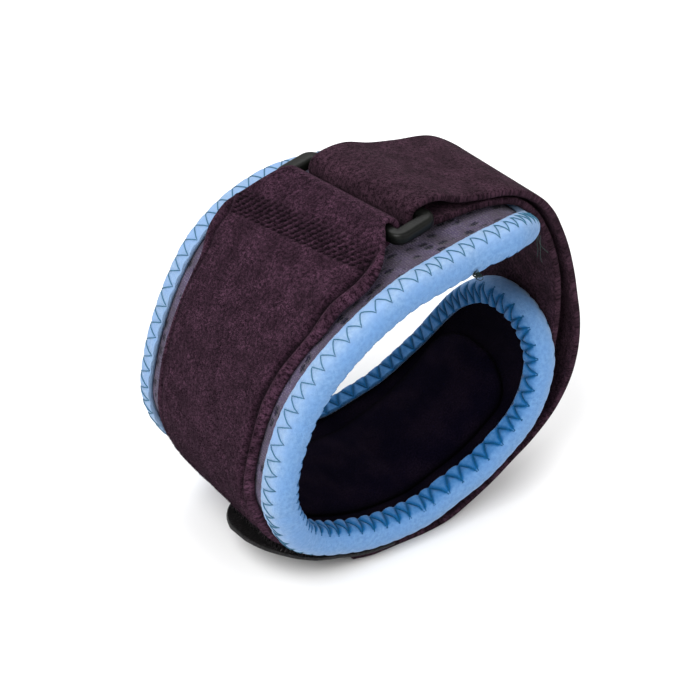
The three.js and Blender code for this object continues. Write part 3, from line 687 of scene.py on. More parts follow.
def band_layer(name, back, face, columns, material, slot, wave_height, *waves):
    """A layer of the band, with uneven waves on the face that shows."""
    distances, near, far = inset_edges()
    y = near[:, None] + (far - near)[:, None] * np.linspace(0, 1, columns)
    along = np.broadcast_to(distances[:, None], y.shape)
    raised = math.copysign(wave_height, face - back) * rippled(along, y, *waves)
    return closed_layer(name, along, y, face + raised, back, material)


def make_pad():
    piece = band_layer("mesh_pad_cloth", -FOAM_WALL, 0, 60, spacer_mesh, "pad_mesh", 0.25, 14, 9, 3)
    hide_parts("mesh_pad")


def make_lining():
    piece = band_layer(
        "inner_lining_cloth", LINING_TOP, LINING_FACE, 50, lining_cloth, "lining", 0.3, 11, 8, 9
    )
    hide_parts("inner_lining")
    distances, near, far = inset_edges()


make_pad()
make_lining()


# The tape round the band's edge, drawn in by its stitches. A stitch's pitch, the tape's width on that face
# and how far its edge swells between two stitches change along the band: share of the loop's length, near
# (-1) or far (1) side, lengths in millimetres

Stitching = namedtuple("Stitching", "along side pitch leg swell", defaults=(0,))
OUTER_STITCHES = [Stitching(*row) for row in (
    (0, -1, 2.4, 6), (0.05, -1, 3.2, 6), (0.12, -1, 3.9, 5.7), (0.2, -1, 4.2, 5.2), (0.3, -1, 4.1, 5.9),
    (0.4, -1, 4.0, 6), (0.5, -1, 4, 6), (0.7, 1, 4.4, 6), (0.4, 1, 4.6, 6), (0.15, 1, 4.2, 6),
    (0.06, 1, 3.4, 6),
)]
INNER_STITCHES = [Stitching(*row) for row in (
    (0, -1, 4.4, 5.6, 0.3), (0.4, -1, 3.3, 5.8, 0.3), (0.5, -1, 3.7, 5.8, 0.34), (0.6, -1, 4.4, 5.8, 0.3),
    (0.68, -1, 4.7, 5.6, 0.25), (0.74, -1, 4.7, 5, 0.18), (0.8, -1, 4.6, 4.3, 0.2),
    (0.86, -1, 4.2, 4.9, 0.25), (0.875, 1, 4.2, 5.8, 0.2), (0.8, 1, 4.2, 6, 0.2), (0.6, 1, 4.6, 6, 0.4),
    (0.3, 1, 4.8, 6, 0.4), (0.06, 1, 4.6, 5.6, 0.3),
)]
OUTER_THREAD_RADIUS = 0.13
INNER_THREAD_RADIUS = 0.15
OUTER_SEAM_START = 1.5
OUTER_SEAM_MARGIN = 0.4
OUTER_PUFF = 0.3
DIP_WIDTH = 0.9
DIP_LENGTH = 0.7
DIP_SHADE = 0.12
GROOVE_START = 0.5
GROOVE_END_MARGIN = 0.4


def outline_place(along, side):
    """Length along the band's outline of the spot on its near (-1) or far (1) side at a share of the loop."""
    apart = np.abs(outline_line[:, 0] - along * LOOP_LENGTH) + 1000 * (outline_line[:, 1] * side < 0)
    return outline_lengths[np.argmin(apart)]


def laid_stitches(table, seed):
    """Places of the stitches round the outline, not quite even, with their pitch, swell and leg."""
    rows = sorted((outline_place(row.along, row.side), row.pitch, row.swell, row.leg) for row in table)
    known, pitches, swells, legs = (np.array(column) for column in zip(*rows))
    uneven = np.random.default_rng(seed)
    places = [0.0]
    while places[-1] < OUTLINE_LENGTH:
        pitch = np.interp(places[-1], known, pitches, period=OUTLINE_LENGTH)
        places.append(places[-1] + pitch * uneven.uniform(0.82, 1.18))
    places = np.array(places[:-1]) * OUTLINE_LENGTH / places[-1]
    pitch = np.diff(np.append(places, OUTLINE_LENGTH))
    swells, legs = (np.interp(places, known, values, period=OUTLINE_LENGTH) for values in (swells, legs))
    return places, np.stack([pitch, swells, legs], axis=-1)


def round_the_outline(places, values):
    """Places of stitches with one more copy at either end, so that the outline closes."""
    before, after = places[-1] - OUTLINE_LENGTH, places[0] + OUTLINE_LENGTH
    return np.concatenate([[before], places, [after]]), np.concatenate([values[-1:], values, values[:1]])


def from_nearest(place, known, values):
    """Signed distance to the nearest known place, with that place's value."""
    middles = (known[1:] + known[:-1]) / 2
    nearest = np.searchsorted(middles, place)
    return place - known[nearest], values[nearest]


outer_places, outer_stitches = laid_stitches(OUTER_STITCHES, 3)
inner_places, inner_stitches = laid_stitches(INNER_STITCHES, 5)
outer_known, outer_values = round_the_outline(outer_places, outer_stitches)
inner_known, inner_values = round_the_outline(inner_places, inner_stitches)


def leg_width(place, inside):
    """How wide the tape is on the band's outer or inner face."""
    known, values = (inner_known, inner_values) if inside else (outer_known, outer_values)
    return np.interp(np.mod(place, OUTLINE_LENGTH), known, values[:, 2])


def near_notch(place):
    """Distance to the nearest notch of the inner leg's cut edge, with the stitch's pitch and swell."""
    off, values = from_nearest(place, inner_known, inner_values)
    return off, values[..., 0], values[..., 1]


def tape_relief(place, inward, inside):
    """How far the tape's face stands off its even height, and how much painted shade its stitch dips and
    grooves get.
    """
    place, inward = np.broadcast_arrays(np.asarray(place, float), inward)
    leg = leg_width(place, inside)
    if not inside:
        needle, _ = from_nearest(place, outer_known, outer_values)
        at_start = soft_spot(inward - OUTER_SEAM_START, DIP_WIDTH)
        at_edge = soft_spot(inward - leg + OUTER_SEAM_MARGIN, DIP_WIDTH)
        half_way, _ = from_nearest(place, outer_known + outer_values[:, 0] / 2, outer_values)
        dips = soft_spot(needle, DIP_LENGTH) * at_edge + soft_spot(half_way, DIP_LENGTH) * at_start
        return OUTER_PUFF * (1 - dips), DIP_SHADE * dips
    off, pitch, swell = near_notch(place)
    share = np.clip((inward - GROOVE_START) / (leg - GROOVE_END_MARGIN - GROOVE_START), 0, 1.1)
    fading = np.clip(share * 8, 0, 1)
    from_stitch = np.abs(off) - (1 - np.minimum(share, 1)) * pitch / 2
    groove = soft_spot(from_stitch, 0.42 + 0.25 * share) * fading
    pad = np.abs(np.sin(math.pi * off / pitch)) * share + np.cos(math.pi * off / pitch) * (1 - share)
    height = 0.1 + (0.06 + 0.2 * swell) * pad * fading - (0.4 + 0.3 * swell) * groove
    # Painted shade along the grooves, and a little over the whole stitched part of the leg
    dark = soft_spot(from_stitch, 0.72) * fading * (0.95 + 0.4 * swell)
    return height, np.clip(dark + 0.28 * fading, 0, 1)


def tape_face(place, inward, inside):
    """Height of the tape's face over the band's outer face."""
    fold = np.clip(1 - inward / TAPE_FOLD_DEPTH, 0, 1)
    height = TAPE_HALF * np.sqrt(np.maximum(1 - fold**2, 0))
    raised, _ = tape_relief(place, inward, inside)
    puff = raised * np.clip(inward / (0.7 if inside else 1.5), 0, 1)
    return TAPE_MIDDLE + (-1 if inside else 1) * (height + puff)


def tape_edge(place, inside):
    """How far in the tape's cut edge lies, swelling between the stitches."""
    leg = leg_width(place, inside)
    if not inside:
        off, values = from_nearest(place, outer_known, outer_values)
        return leg + 0.15 * np.cos(2 * math.pi * off / values[..., 0])
    off, pitch, swell = near_notch(place)
    return leg + swell * (0.45 * np.sqrt(np.abs(np.sin(math.pi * off / pitch))) - 0.3)


LEG_COLUMNS = 14
FOLD_COLUMNS = 8
TAPE_STEP = 0.38


def inner_shade_share(inward, inside):
    """How much of the inner leg's painted shade, a bluer colour, shows at a depth."""
    if inside:
        return 0.6 + 0.4 * min(inward / 2, 1)
    return 0.6 * max(1 - inward / 1.8, 0)


def make_tape():
    stations = round(OUTLINE_LENGTH / TAPE_STEP)
    place = np.arange(stations) * OUTLINE_LENGTH / stations
    angles = np.linspace(0, QUARTER_TURN, FOLD_COLUMNS + 1)
    fold_shares = (1 - np.cos(angles)) * TAPE_FOLD_DEPTH
    rows, hollow, inner_leg_shade = [], [], []

    def lay(inward, inside, shade_share):
        _, dark = tape_relief(place, inward, inside)
        rows.append(on_band(place, inward, tape_face(place, inward, inside)))
        # Painted shade in the stitches' dips and grooves
        hollow.append(dark * np.clip((inward - 0.3) / 0.6, 0, 1))
        # The inner leg's bluer colour is painted shade
        inner_leg_shade.append(np.full(stations, shade_share))

    for inside in (False, True):
        reach = tape_edge(place, inside)
        shares = np.linspace(1, 0, LEG_COLUMNS)
        leg = [TAPE_FOLD_DEPTH + share * (reach - TAPE_FOLD_DEPTH) for share in shares]
        fold = [np.full(stations, float(inward)) for inward in fold_shares[::-1][1:]]
        if inside:
            fold = fold[:-1]
        run = leg + fold
        for inward in run[::-1] if inside else run:
            lay(inward, inside, inner_shade_share(inward.mean(), inside))
    for inward, side in ((TAPE_LEG, -1), (TAPE_FOLD_DEPTH, -1), (TAPE_FOLD_DEPTH, 1), (TAPE_LEG, 1)):
        rows.append(on_band(place, inward, TAPE_MIDDLE + side * (TAPE_HALF - TAPE_WALL)))
        hollow.append(np.zeros(stations))
        inner_leg_shade.append(np.full(stations, float(side < 0)))
    points = np.stack(rows, axis=1)
    depth = lengths_along(points[0])
    layout = np.stack(np.broadcast_arrays(place[:, None], depth[None]), axis=-1)
    faces = grid_faces(stations, points.shape[1], closed_rows=True, closed_columns=True)
    piece = new_piece(
        "edge_binding_tape", points.reshape(-1, 3), faces, tape_cloth, layout.reshape(-1, 2),
        {"hollow": np.stack(hollow, axis=1), "inside": np.stack(inner_leg_shade, axis=1)},
    )
    face_outwards(piece)
    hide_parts("edge_binding")


def thread_piece(name, lines, radius, material, sides=6):
    """Threads as fine tubes along lines of points in the loop's frame."""
    points, faces = [], []
    for line, closed in lines:
        line = np.asarray(line)
        if closed:
            run = unit(np.roll(line, -1, 0) - np.roll(line, 1, 0))
        else:
            run = unit(np.gradient(line, axis=0))
        side = unit(np.cross(run, [0.3, 0.5, 0.81]))
        other = np.cross(run, side)
        start = len(points)
        for k in range(len(line)):
            for turn in np.arange(sides) * 2 * math.pi / sides:
                points.append(line[k] + radius * (side[k] * math.cos(turn) + other[k] * math.sin(turn)))
        ring = grid_faces(len(line), sides, closed_rows=closed, closed_columns=True)
        faces += [tuple(start + v for v in face) for face in ring]
        if not closed:
            faces.append(tuple(range(start + sides - 1, start - 1, -1)))
            last = start + (len(line) - 1) * sides
            faces.append(tuple(range(last, last + sides)))
    return new_piece(name, np.array(points), faces, material)


def on_tape(place, inward, inside, raised):
    """A point on the tape's face at each place, raised off it."""
    way = -1 if inside else 1
    return on_band(place, inward, tape_face(place, inward, inside) + way * raised)


def make_outer_seam():
    """A fine zigzag whose corners go down through the tape."""
    corners = np.stack([outer_places, outer_places + outer_stitches[:, 0] / 2], axis=-1).ravel()
    inward = np.tile([0, OUTER_SEAM_START], len(outer_places))
    inward[::2] = leg_width(outer_places, False) - OUTER_SEAM_MARGIN
    uneven = np.random.default_rng(11)
    inward = inward + uneven.uniform(-0.35, 0.2, len(inward))
    share = np.arange(8) / 8
    after, next_inward = np.append(corners[1:], OUTLINE_LENGTH), np.append(inward[1:], inward[0])
    place = (corners[:, None] + (after - corners)[:, None] * share).ravel()
    inward = (inward[:, None] + (next_inward - inward)[:, None] * share).ravel()
    raised = np.tile(0.16 - 0.2 * np.abs(2 * share - 1) ** 4, len(corners))
    line = on_tape(place, inward, False, raised)
    thread_piece("outer_zigzag_seam", [(line, True)], OUTER_THREAD_RADIUS, outer_thread)


def make_inner_seam():
    """A zigzag drawn tight, so that it lies in its own grooves."""
    lines = []
    share = np.linspace(0, 1, 9)
    sunk = 0.2 - 0.3 * np.abs(2 * share - 1) ** 6
    for place, (pitch, _, leg) in zip(inner_places, inner_stitches):
        inward = leg - GROOVE_END_MARGIN + (GROOVE_START + GROOVE_END_MARGIN - leg) * share
        for way in (-1, 1):
            lines.append((on_tape(place + way * share * pitch / 2, inward, True, sunk), False))
    thread_piece("inner_zigzag_seam", lines, INNER_THREAD_RADIUS, inner_thread, sides=5)


# Ends of thread left hanging at the band's upper end: share of the loop's length, across, height, length
THREAD_ENDS = [(0.003, -29, -0.5, 6.5, 0.2), (0.0, -27.5, -1, 5.2, -0.5), (0.008, -30, -0.5, 4.2, 0.9)]
THREAD_KNOT = (0.077, -30.5, -4.6)


def make_loose_threads():
    share = np.linspace(0, 1, 14)
    lines = []
    for along, y, height, length, curl in THREAD_ENDS:
        root = on_loop(along * LOOP_LENGTH, y, height)
        sway = 0.7 * np.sin(share * 5 + curl * 3) * share + curl * share
        hanging = np.stack([sway, 0.6 * np.sin(share * 4 + curl) - 0.8 * share, -length * share], axis=-1)
        lines.append((root + hanging, False))
    uneven = np.random.default_rng(41)
    middle = on_loop(THREAD_KNOT[0] * LOOP_LENGTH, *THREAD_KNOT[1:])
    for _ in range(16):
        turns = np.linspace(0, uneven.uniform(3, 7), 16)
        first, second = unit(uneven.normal(size=(2, 3)))
        loop = first * np.cos(turns)[:, None] + second * np.sin(turns)[:, None]
        lines.append((middle + loop * uneven.uniform(0.4, 0.95) + uneven.uniform(-0.5, 0.5, 3), False))
    thread_piece("loose_thread_ends", lines, 0.09, loose_thread, sides=5)


make_tape()
make_outer_seam()
make_inner_seam()
make_loose_threads()


# The cushion inside the band, its cloth swollen by the filling

SWELL_LIMIT = 0.8
SWELL_SCALE = 20
SWELL_FRAMES = 14
SWELL_PRESSURE = 4
CUSHION_EDGE_LIFT = 0.35


def make_cushion():
    start, end = CUSHION_START * LOOP_LENGTH, CUSHION_END * LOOP_LENGTH
    distances = end_to_end(start, end, CUSHION_END_ROUND, 14, 60)
    from_end = np.minimum(distances - start, end - distances) + GAP
    missing = 1 - np.minimum(from_end / CUSHION_END_ROUND, 1)
    rounded = np.sqrt(1 - missing**2)[:, None]
    shares = np.linspace(-1, 1, 41)
    y = CUSHION_ACROSS + CUSHION_HALF_WIDTH * rounded * shares
    along = np.broadcast_to(distances[:, None], y.shape)
    crown = (1 - np.abs(shares) ** 3.2) * rounded**0.7
    back = LINING_FACE - GAP
    face = back - CUSHION_EDGE_LIFT - crown * (CUSHION_WALL - SWELL_LIMIT + 0.35 * rippled(along, y, 9, 6, 1))
    # Painted shade: black over the cushion's back, and darkening towards the edges of its face, where it
    # meets the lining
    hollow = np.hstack([np.abs(shares) ** 12 + 0 * y, np.ones(y.shape)])
    piece = closed_layer("pressure_cushion_pad", along, y, face, back, cushion_cloth, hollow)
    count, columns = hollow.shape[1], len(shares)
    on_top = (np.arange(count) > 0) & (np.arange(count) < columns - 1)
    swell(piece, np.flatnonzero(~np.tile(on_top, len(distances))))
    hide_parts("pressure_cushion")


def swell(piece, sewn):
    """Lets the filling press the cloth out between its sewn edges, up to a limit."""
    count = len(piece.data.vertices)
    before = np.empty(count * 3)
    piece.data.vertices.foreach_get("co", before)
    large = bpy.data.objects.new("swelling cloth", piece.data.copy())
    large.data.vertices.foreach_set("co", before * SWELL_SCALE)
    bpy.context.scene.collection.objects.link(large)
    large.vertex_groups.new(name="sewn").add(sewn.tolist(), 1, "REPLACE")
    cloth = large.modifiers.new("swelling", "CLOTH").settings
    cloth.vertex_group_mass = "sewn"
    cloth.use_pressure = True
    cloth.uniform_pressure_force = SWELL_PRESSURE
    cloth.effector_weights.gravity = 0
    for step in range(1, SWELL_FRAMES + 1):
        bpy.context.scene.frame_set(step)
    swollen = large.evaluated_get(bpy.context.evaluated_depsgraph_get()).data
    after = np.empty(count * 3)
    swollen.vertices.foreach_get("co", after)
    bpy.data.objects.remove(large)
    bpy.context.scene.frame_set(1)
    before, after = before.reshape(-1, 3), after.reshape(-1, 3) / SWELL_SCALE
    moved = after - before
    moved = np.where(np.isfinite(moved), moved, 0)
    far = np.linalg.norm(moved, axis=1, keepdims=True)
    moved *= SWELL_LIMIT * MM * np.tanh(far / (SWELL_LIMIT * MM)) / np.maximum(far, 1e-9)
    piece.data.vertices.foreach_set("co", (before + moved).ravel())


make_cushion()


# The velour panel and the pull strap

def bar_turn(way, radius, side):
    """Points of a half turn round one of the buckle's bars, from under it to over it."""
    bar = buckle_middle + buckle_run * way * BAR_REACH
    angles = np.linspace(-QUARTER_TURN, QUARTER_TURN, 5)
    return [bar + side * radius * math.cos(a) * buckle_run + radius * math.sin(a) * buckle_up for a in angles]


def yawed(point, y):
    """A point of a fold moved to y across, along the buckle's bar."""
    moved = np.array(point) + buckle_run * math.tan(BUCKLE_YAW) * (y - BUCKLE_MIDDLE_ACROSS)
    moved[1] = y
    return moved


def leaned(row, height, y):
    shift = row.lean * math.tan(BUCKLE_YAW) * (y - BUCKLE_MIDDLE_ACROSS)
    return on_loop(row.along * LOOP_LENGTH + shift, y, height)


def panel_strip():
    near, far = [], []

    def lay(rows, lifted_to):
        for row in rows:
            seat = PANEL_SEAT + row.layers * (PANEL_WALL + GAP)
            height = seat + (lifted_to - seat) * row.lift
            near.append(leaned(row, height, row.near * PANEL_HALF_WIDTH))
            far.append(leaned(row, height, row.far * PANEL_HALF_WIDTH))

    lay(PANEL_TAIL, BUCKLE_HEIGHT - PANEL_TURN)
    for point in bar_turn(1, PANEL_TURN, -1):
        near.append(yawed(point, FOLD_NEAR))
        far.append(yawed(point, FOLD_FAR))
    lay(PANEL_TOP, BUCKLE_HEIGHT + PANEL_TURN)
    return Strip(near, far, 0.7)


def strap_strip():
    near, far = [], []

    def lay(rows, seat):
        for row in rows:
            for edge, way, lift in ((near, -1, row.lift), (far, 1, row.lift - row.drop)):
                point = leaned(row, seat + lift * BUCKLE_HEIGHT, (row.shift + way) * STRAP_HALF_WIDTH)
                point[2] = max(point[2], STRAP_LOWEST)
                edge.append(point)

    lay(STRAP_INNER, STRAP_SEAT)
    for point in bar_turn(-1, STRAP_TURN, 1):
        near.append(yawed(point, (STRAP_OUTER[0].shift - 1) * STRAP_HALF_WIDTH))
        far.append(yawed(point, (STRAP_OUTER[0].shift + 1) * STRAP_HALF_WIDTH))
    lay(STRAP_OUTER, STRAP_SEAT + STRAP_WALL + GAP)
    return Strip(near, far, 0.8)


# Seams of the panel: share of the loop's length, distance across
NEAR_SEAM = [
    (0.15, -23), (0.2, -23), (0.248, -22.2), (0.267, -20.9), (0.289, -19.4), (0.322, -18.2), (0.37, -18.6),
    (0.45, -17), (0.76, -14.5),
]
FAR_SEAM = [
    (0.16, 25.5), (0.189, 23.8), (0.211, 22.4), (0.23, 21.6), (0.248, 21), (0.31, 20.8), (0.33, 20.5),
    (0.378, 19.6), (0.5, 17.4), (0.76, 12.5),
]
# Where the panel's end is sewn down: share of the loop's length at the near and the far side
SEWN_START = (0.149, 0.185)
SEWN_END = (0.181, 0.211)
SEWN_ACROSS = (-22.5, 21.5)
SEWN_ROWS = 7
SEWN_PITCH = 2.0


def stitch_holes(along, y):
    """Rows of slanting hollows where the panel's end is sewn down."""
    tilt = (y - SEWN_ACROSS[0]) / (SEWN_ACROSS[1] - SEWN_ACROSS[0])
    low, high = (pair[0] + (pair[1] - pair[0]) * tilt for pair in (SEWN_START, SEWN_END))
    rows = (along - low) / (high - low) * SEWN_ROWS - 0.5
    row = np.clip(np.round(rows), 0, SEWN_ROWS - 1)
    off_row = (rows - row) * (high - low) * LOOP_LENGTH / SEWN_ROWS
    step = y / SEWN_PITCH + 0.5 * np.mod(row, 2) + 0.12 * np.sin(3.1 * row)
    step = step + 0.14 * rippled(along * 400, y, 3, 3, 8)
    off_hole = (step - np.round(step)) * SEWN_PITCH
    inside = (y > SEWN_ACROSS[0]) & (y < SEWN_ACROSS[1])
    return inside * soft_spot(off_row - 0.45 * off_hole, 0.42) * soft_spot(off_hole, 0.72)


def make_panel():
    strip = panel_strip()
    first = PANEL_TOP[0].along * LOOP_LENGTH
    start = strip.place_of(on_loop(first, 0, BUCKLE_HEIGHT + PANEL_TURN)[[0, 2]])
    strip.refine(start - 4, start + 22, 0.36)
    fold = strip.place_of((buckle_middle + buckle_run * (BAR_REACH - PANEL_TURN))[[0, 2]])
    alongs, leans = [row.along for row in PANEL_TOP], [row.lean for row in PANEL_TOP]

    def relief(place, y):
        along = (place - start + first) / LOOP_LENGTH
        lean = np.interp(along, alongs, leans) * math.tan(BUCKLE_YAW)
        along = along + lean * (y - BUCKLE_MIDDLE_ACROSS) / LOOP_LENGTH
        on_top = np.clip((place - start) / 6, 0, 1)
        near, far = (np.interp(along, *zip(*seam)) for seam in (NEAR_SEAM, FAR_SEAM))
        near_groove, far_groove = soft_spot(y - near, 0.75), soft_spot(y - far, 0.6)
        body = 1 / (1 + np.exp(-(y - near - 0.9) / 0.4)) / (1 + np.exp((y - far + 0.8) / 0.4))
        lip = soft_spot(y - near + 2.2, 1.2)
        margin = soft_spot(y - far - 1.4, 0.8)
        holes = stitch_holes(along, y)
        worn = rippled(place, y, 15, 11, 5)
        folds = rippled(place, y, 30, 3.2, 2) * np.clip((along - 0.33) / 0.05, 0, 1)
        shape = 0.75 * body + 0.95 * lip + 0.2 * margin - 0.95 * near_groove - 0.7 * far_groove - 1.5 * holes
        # dark is painted shade in the seams' grooves and the stitch holes
        dark = 0.95 * near_groove + 0.85 * far_groove + 1.6 * holes
        # Painted shade along the fold round the buckle's bar
        painted_fold_shade = soft_spot(place - fold, 2)
        return on_top * (shape + 0.3 * worn + 0.22 * folds), np.clip(on_top * dark + painted_fold_shade, 0, 1)

    shares = np.linspace(0, 1, 113)
    piece = strip_piece("velour_panel_cloth", strip, PANEL_WALL, shares, velour, relief)
    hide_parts("velour_panel")
    seen = (start - 6, start - first + 0.56 * LOOP_LENGTH)
    make_nap("velour_panel_nap", strip, seen, 46000, 21)


def make_strap():
    strip = strap_strip()
    fold = strip.place_of((buckle_middle - buckle_run * (BAR_REACH - STRAP_TURN))[[0, 2]])

    def relief(place, y):
        swollen = soft_spot(place - fold - 9, 6) * soft_spot(y + 0.6, 13)
        edges = soft_spot(STRAP_HALF_WIDTH - np.abs(y - 0.6), 1.6)
        # Painted shade along the fold round the buckle's bar
        painted_fold_shade = soft_spot(place - fold, 2)
        return 0.2 * rippled(place, y, 15, 8, 7) + 0.7 * swollen - 0.25 * edges, painted_fold_shade

    shares = np.linspace(0, 1, 64)
    piece = strip_piece(
        "pull_strap_cloth", strip, STRAP_WALL, shares, strap_velour, relief, RESTS_ON
    )
    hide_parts("pull_strap")
    make_nap("pull_strap_nap", strip, (fold - 6, strip.length), 46000, 22)


# The nap: short leaning fibres on a strip's outer face

NAP_LENGTH = 0.62
NAP_RADIUS = 0.075


def make_nap(name, strip, seen, count, seed):
    uneven = np.random.default_rng(seed)
    face = strip.face
    first, last = np.searchsorted(strip.places, seen)
    place = uneven.uniform(strip.places[first], strip.places[last - 2], count)
    row = np.clip(np.searchsorted(strip.places, place) - 1, first, last - 2)
    part = (place - strip.places[row]) / (strip.places[row + 1] - strip.places[row])
    spot = uneven.uniform(0, face.shape[1] - 1.001, count)
    column = spot.astype(int)
    side_part = spot - column

    def blend(values):
        shape = (-1,) + (1,) * (values.ndim - 2)
        total = 0
        for down, down_part in ((0, 1 - part), (1, part)):
            for side, side_share in ((0, 1 - side_part), (1, side_part)):
                total = total + (down_part * side_share).reshape(shape) * values[row + down, column + side]
        return total

    root = blend(face)
    run = unit(face[row + 1, column] - face[row, column])
    across = unit(face[row, column + 1] - face[row, column])
    out = unit(np.cross(run, across))
    out *= np.sign(np.sum(out * (blend(strip.face_out)), axis=1, keepdims=True))
    patch = np.reshape([noise.noise(Vector(p / 5)) for p in root], (-1, 1))
    turn = uneven.uniform(0, 2 * math.pi, (count, 1)) * 0.5 + 4 * patch
    lean = run * np.cos(turn) + across * np.sin(turn)
    # Fibres are shorter where painted shade is marked
    tall = NAP_LENGTH * uneven.uniform(0.6, 1.15, (count, 1)) * (1 - 0.9 * blend(strip.face_hollow)[:, None])
    tip = root + unit(out * 0.62 + lean * 0.8) * tall
    corners = [
        root - out * 0.05 + NAP_RADIUS * (lean * math.cos(a) + np.cross(out, lean) * math.sin(a))
        for a in (0, 2 * math.pi / 3, 4 * math.pi / 3)
    ]
    keep = np.minimum(tip, root)[:, 2] > RESTS_ON + 0.15
    points = np.stack(corners + [tip], axis=1)[keep]
    shade = np.repeat(uneven.random(len(points)) ** 1.6, 4).reshape(-1, 4)
    # The roots are painted darker than the tips: painted shade among the fibres
    shade[:, :3] *= 0.45
    corner = np.arange(len(points))[:, None] * 4
    faces = np.concatenate([corner + np.array(side) for side in ((0, 1, 3), (1, 2, 3), (2, 0, 3), (2, 1, 0))])
    new_piece(name, points.reshape(-1, 3), faces.tolist(), nap_fibres, marks={"shade": shade})


make_panel()
make_strap()


# The hook tab

def hook_strip():
    tip = HOOK_RUN[-1].along
    rows = sorted(HOOK_RUN)
    alongs, lifts, drops = (np.array(column) for column in zip(*rows))
    near, far = [], []
    for share in np.linspace(0, 1, 24) ** 0.6:
        reach = (HOOK_RUN[0].along - tip) * (1 - share)
        lift, drop = (np.interp(tip + reach, alongs, values) for values in (lifts, drops))
        missing = 1 - min((reach * LOOP_LENGTH + GAP) / HOOK_END_ROUND, 1)
        half = STRAP_HALF_WIDTH * math.sqrt(1 - missing**2)
        for edge, way in ((near, -1), (far, 1)):
            nearness = (1 - way * half / STRAP_HALF_WIDTH) / 2
            height = HOOK_SEAT + (lift - nearness * drop) * BUCKLE_HEIGHT
            edge.append(on_loop((tip + reach) * LOOP_LENGTH, HOOK_MIDDLE_ACROSS + way * half, height))
    return Strip(near[::-1], far[::-1], 0.7)


HOOK_PITCH = 0.78
HOOK_SUNK = 0.05
HOOK_RADIUS = 0.11
HOOK_BEND = np.array([(0, 0), (0.45, 0.02), (0.8, 0.1), (0.98, 0.3), (0.86, 0.5), (0.66, 0.52)])


def make_hook_tab():
    strip = hook_strip()
    shares = np.linspace(0, 1, 24)
    piece = strip_piece("hook_tab_base", strip, HOOK_WALL, shares, hook_nylon, lowest=RESTS_ON)
    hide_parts("hook_tab")
    make_hooks(strip)


def make_hooks(strip):
    """Bent nylon hooks in rows on the tab's face towards the band."""
    uneven = np.random.default_rng(31)
    run = (HOOK_RUN[0].along - HOOK_RUN[-1].along) * LOOP_LENGTH
    lines = []
    for place in np.arange(strip.length - run + 1, strip.length - 0.8, HOOK_PITCH):
        ring = np.argmin(np.abs(strip.places - place))
        width = abs(strip.far[ring, 1] - strip.near[ring, 1])
        out = unit(strip.near_out[ring] + strip.far_out[ring])
        out = out * np.sign(out @ strip.near[ring])
        for step in range(int((width - 1.2) / HOOK_PITCH)):
            share = (0.6 + HOOK_PITCH * (step + uneven.uniform(-0.2, 0.2))) / width
            seat = strip.near[ring] + (strip.far[ring] - strip.near[ring]) * share
            root = seat - out * (HOOK_WALL / 2 - HOOK_SUNK)
            side = np.array([0, 1, 0]) * (1 if step % 2 else -1)
            side = side + np.cross(out, [0, 1, 0]) * uneven.uniform(-0.8, 0.8)
            side = unit(side) * uneven.uniform(0.8, 1.2)
            lines.append((root + HOOK_BEND[:, :1] * -out + HOOK_BEND[:, 1:] * side, False))
    piece = thread_piece("hook_tab_hooks", lines, HOOK_RADIUS, lit_bristle_nylon, sides=4)


make_hook_tab()


# The buckle

def make_buckle():
    """A flat ring, inset and drawn up from a plane, with its edges rounded."""
    bpy.ops.object.select_all(action="DESELECT")
    bpy.ops.mesh.primitive_plane_add(size=1)
    piece = bpy.context.object
    piece.name = "buckle_ring"
    length = 2 * (HOLE_HALF_LENGTH + BUCKLE_SIDE_BAR) * MM
    width = (2 * BAR_REACH + BUCKLE_BAR) * MM
    piece.scale = (width, length, 1)
    bpy.ops.object.transform_apply(location=False, rotation=False, scale=True)
    bpy.ops.object.mode_set(mode="EDIT")
    bpy.ops.mesh.select_all(action="SELECT")
    bpy.ops.mesh.inset(thickness=BUCKLE_BAR * MM)
    bpy.ops.transform.resize(value=(1, 2 * HOLE_HALF_LENGTH * MM / (length - 2 * BUCKLE_BAR * MM), 1))
    bpy.ops.mesh.delete(type="ONLY_FACE")
    bpy.ops.mesh.select_all(action="SELECT")
    bpy.ops.mesh.extrude_region_move(TRANSFORM_OT_translate={"value": (0, 0, BUCKLE_BAR * MM)})
    bpy.ops.mesh.select_all(action="SELECT")
    bpy.ops.transform.translate(value=(0, 0, -BUCKLE_BAR * MM / 2))
    bpy.ops.object.mode_set(mode="OBJECT")
    select_upright_edges(piece, width)
    bpy.ops.object.mode_set(mode="EDIT")
    bpy.ops.mesh.bevel(offset=BUCKLE_CORNER * MM, segments=8, affect="EDGES")
    bpy.ops.object.mode_set(mode="OBJECT")
    rounding = piece.modifiers.new("rounded edges", "BEVEL")
    rounding.width = BUCKLE_ROUNDING * MM
    rounding.segments = 5
    rounding.limit_method = "ANGLE"
    rounding.angle_limit = math.radians(50)
    bpy.ops.object.modifier_apply(modifier=rounding.name)
    bars = Matrix.Rotation(BUCKLE_YAW, 3, "Z") @ Vector((0, 1, 0))
    up = Vector(buckle_up)
    across = bars.cross(up).normalized()
    bars = up.cross(across).normalized()
    turn = Matrix((across, bars, up)).transposed().to_4x4()
    piece.data.transform(Matrix.Translation(Vector(in_row_frame(buckle_middle))) @ turn)
    piece.data.polygons.foreach_set("use_smooth", [True] * len(piece.data.polygons))
    piece.data.materials.append(plastic)
    face_outwards(piece)
    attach(piece, "root")
    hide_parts("buckle")


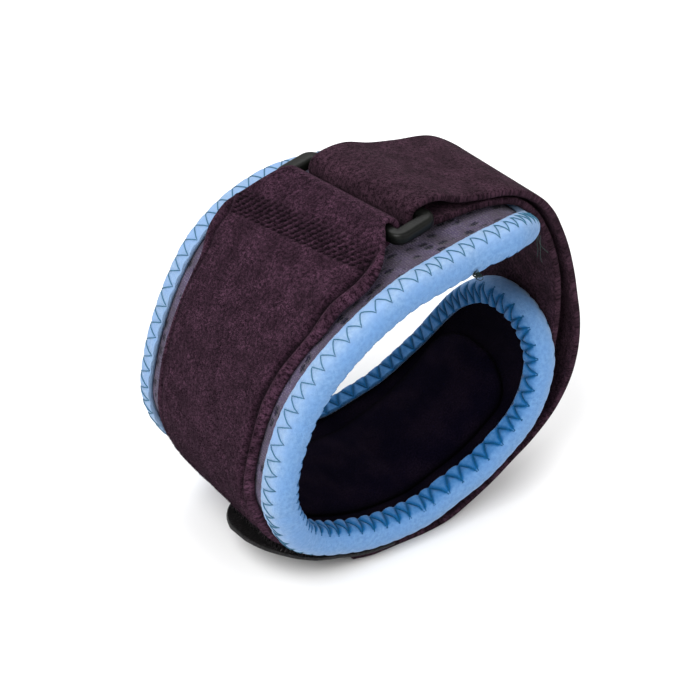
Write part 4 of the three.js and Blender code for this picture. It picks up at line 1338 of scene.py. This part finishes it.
def select_upright_edges(piece, width):
    """Selects the outer corners' upright edges."""
    bpy.ops.object.mode_set(mode="EDIT")
    bpy.ops.mesh.select_all(action="DESELECT")
    bpy.ops.mesh.select_mode(type="EDGE")
    bpy.ops.object.mode_set(mode="OBJECT")
    for edge in piece.data.edges:
        a, b = (piece.data.vertices[k].co for k in edge.vertices)
        upright = abs(a.z - b.z) > MM
        edge.select = upright and abs(a.x) > width / 2 - 0.5 * MM


make_buckle()


# Floor, light and camera

def make_stage():
    bpy.ops.object.select_all(action="DESELECT")
    bpy.ops.mesh.primitive_plane_add(size=6)
    floor = bpy.context.object
    floor.name = "floor"
    floor.data.materials.append(floor_material())


def aimed(name, data, middle, azimuth, elevation, distance):
    """A lamp or camera turned to a point in metres, seen from it at angles in degrees."""
    made = bpy.data.objects.new(name, data)
    bpy.context.scene.collection.objects.link(made)
    turn, lift = math.radians(azimuth), math.radians(elevation)
    way = Vector((math.sin(turn) * math.cos(lift), -math.cos(turn) * math.cos(lift), math.sin(lift)))
    made.location = Vector(middle) + way * distance
    made.rotation_euler = (-way).to_track_quat("-Z", "Y").to_euler()
    return made


def area_light(name, azimuth, elevation, distance, size, power):
    light = bpy.data.lights.new(name, "AREA")
    light.shape = "DISK"
    light.size = size
    light.energy = power
    aimed(name, light, (0, 0, 0), azimuth, elevation, distance)


VIEW_AZIMUTH = -33
VIEW_ELEVATION = 35
VIEW_DISTANCE = 600
VIEW_MIDDLE = np.array((-1.4, 0.1, 1.5))
VIEW_LENS = 128.2


def make_camera():
    camera = bpy.data.cameras.new("camera")
    camera.lens = VIEW_LENS
    camera.sensor_width = 36
    camera.clip_start = 0.01
    middle = in_row_frame(VIEW_MIDDLE)
    eye = aimed("camera", camera, middle, VIEW_AZIMUTH, VIEW_ELEVATION, VIEW_DISTANCE * MM)
    bpy.context.scene.camera = eye


def make_light():
    area_light("key_light", -62, 52, 0.9, 0.55, 7)
    area_light("fill_light", 20, 40, 1.0, 0.9, 2.5)
    area_light("back_light", 160, 60, 0.9, 0.6, 3)
    world = bpy.data.worlds.new("studio")
    world.use_nodes = True
    background = world.node_tree.nodes["Background"].inputs
    background["Color"].default_value = (1, 1, 1, 1)
    background["Strength"].default_value = 0.75
    bpy.context.scene.world = world
    bpy.context.scene.view_settings.view_transform = "Standard"


make_stage()
make_light()
make_camera()
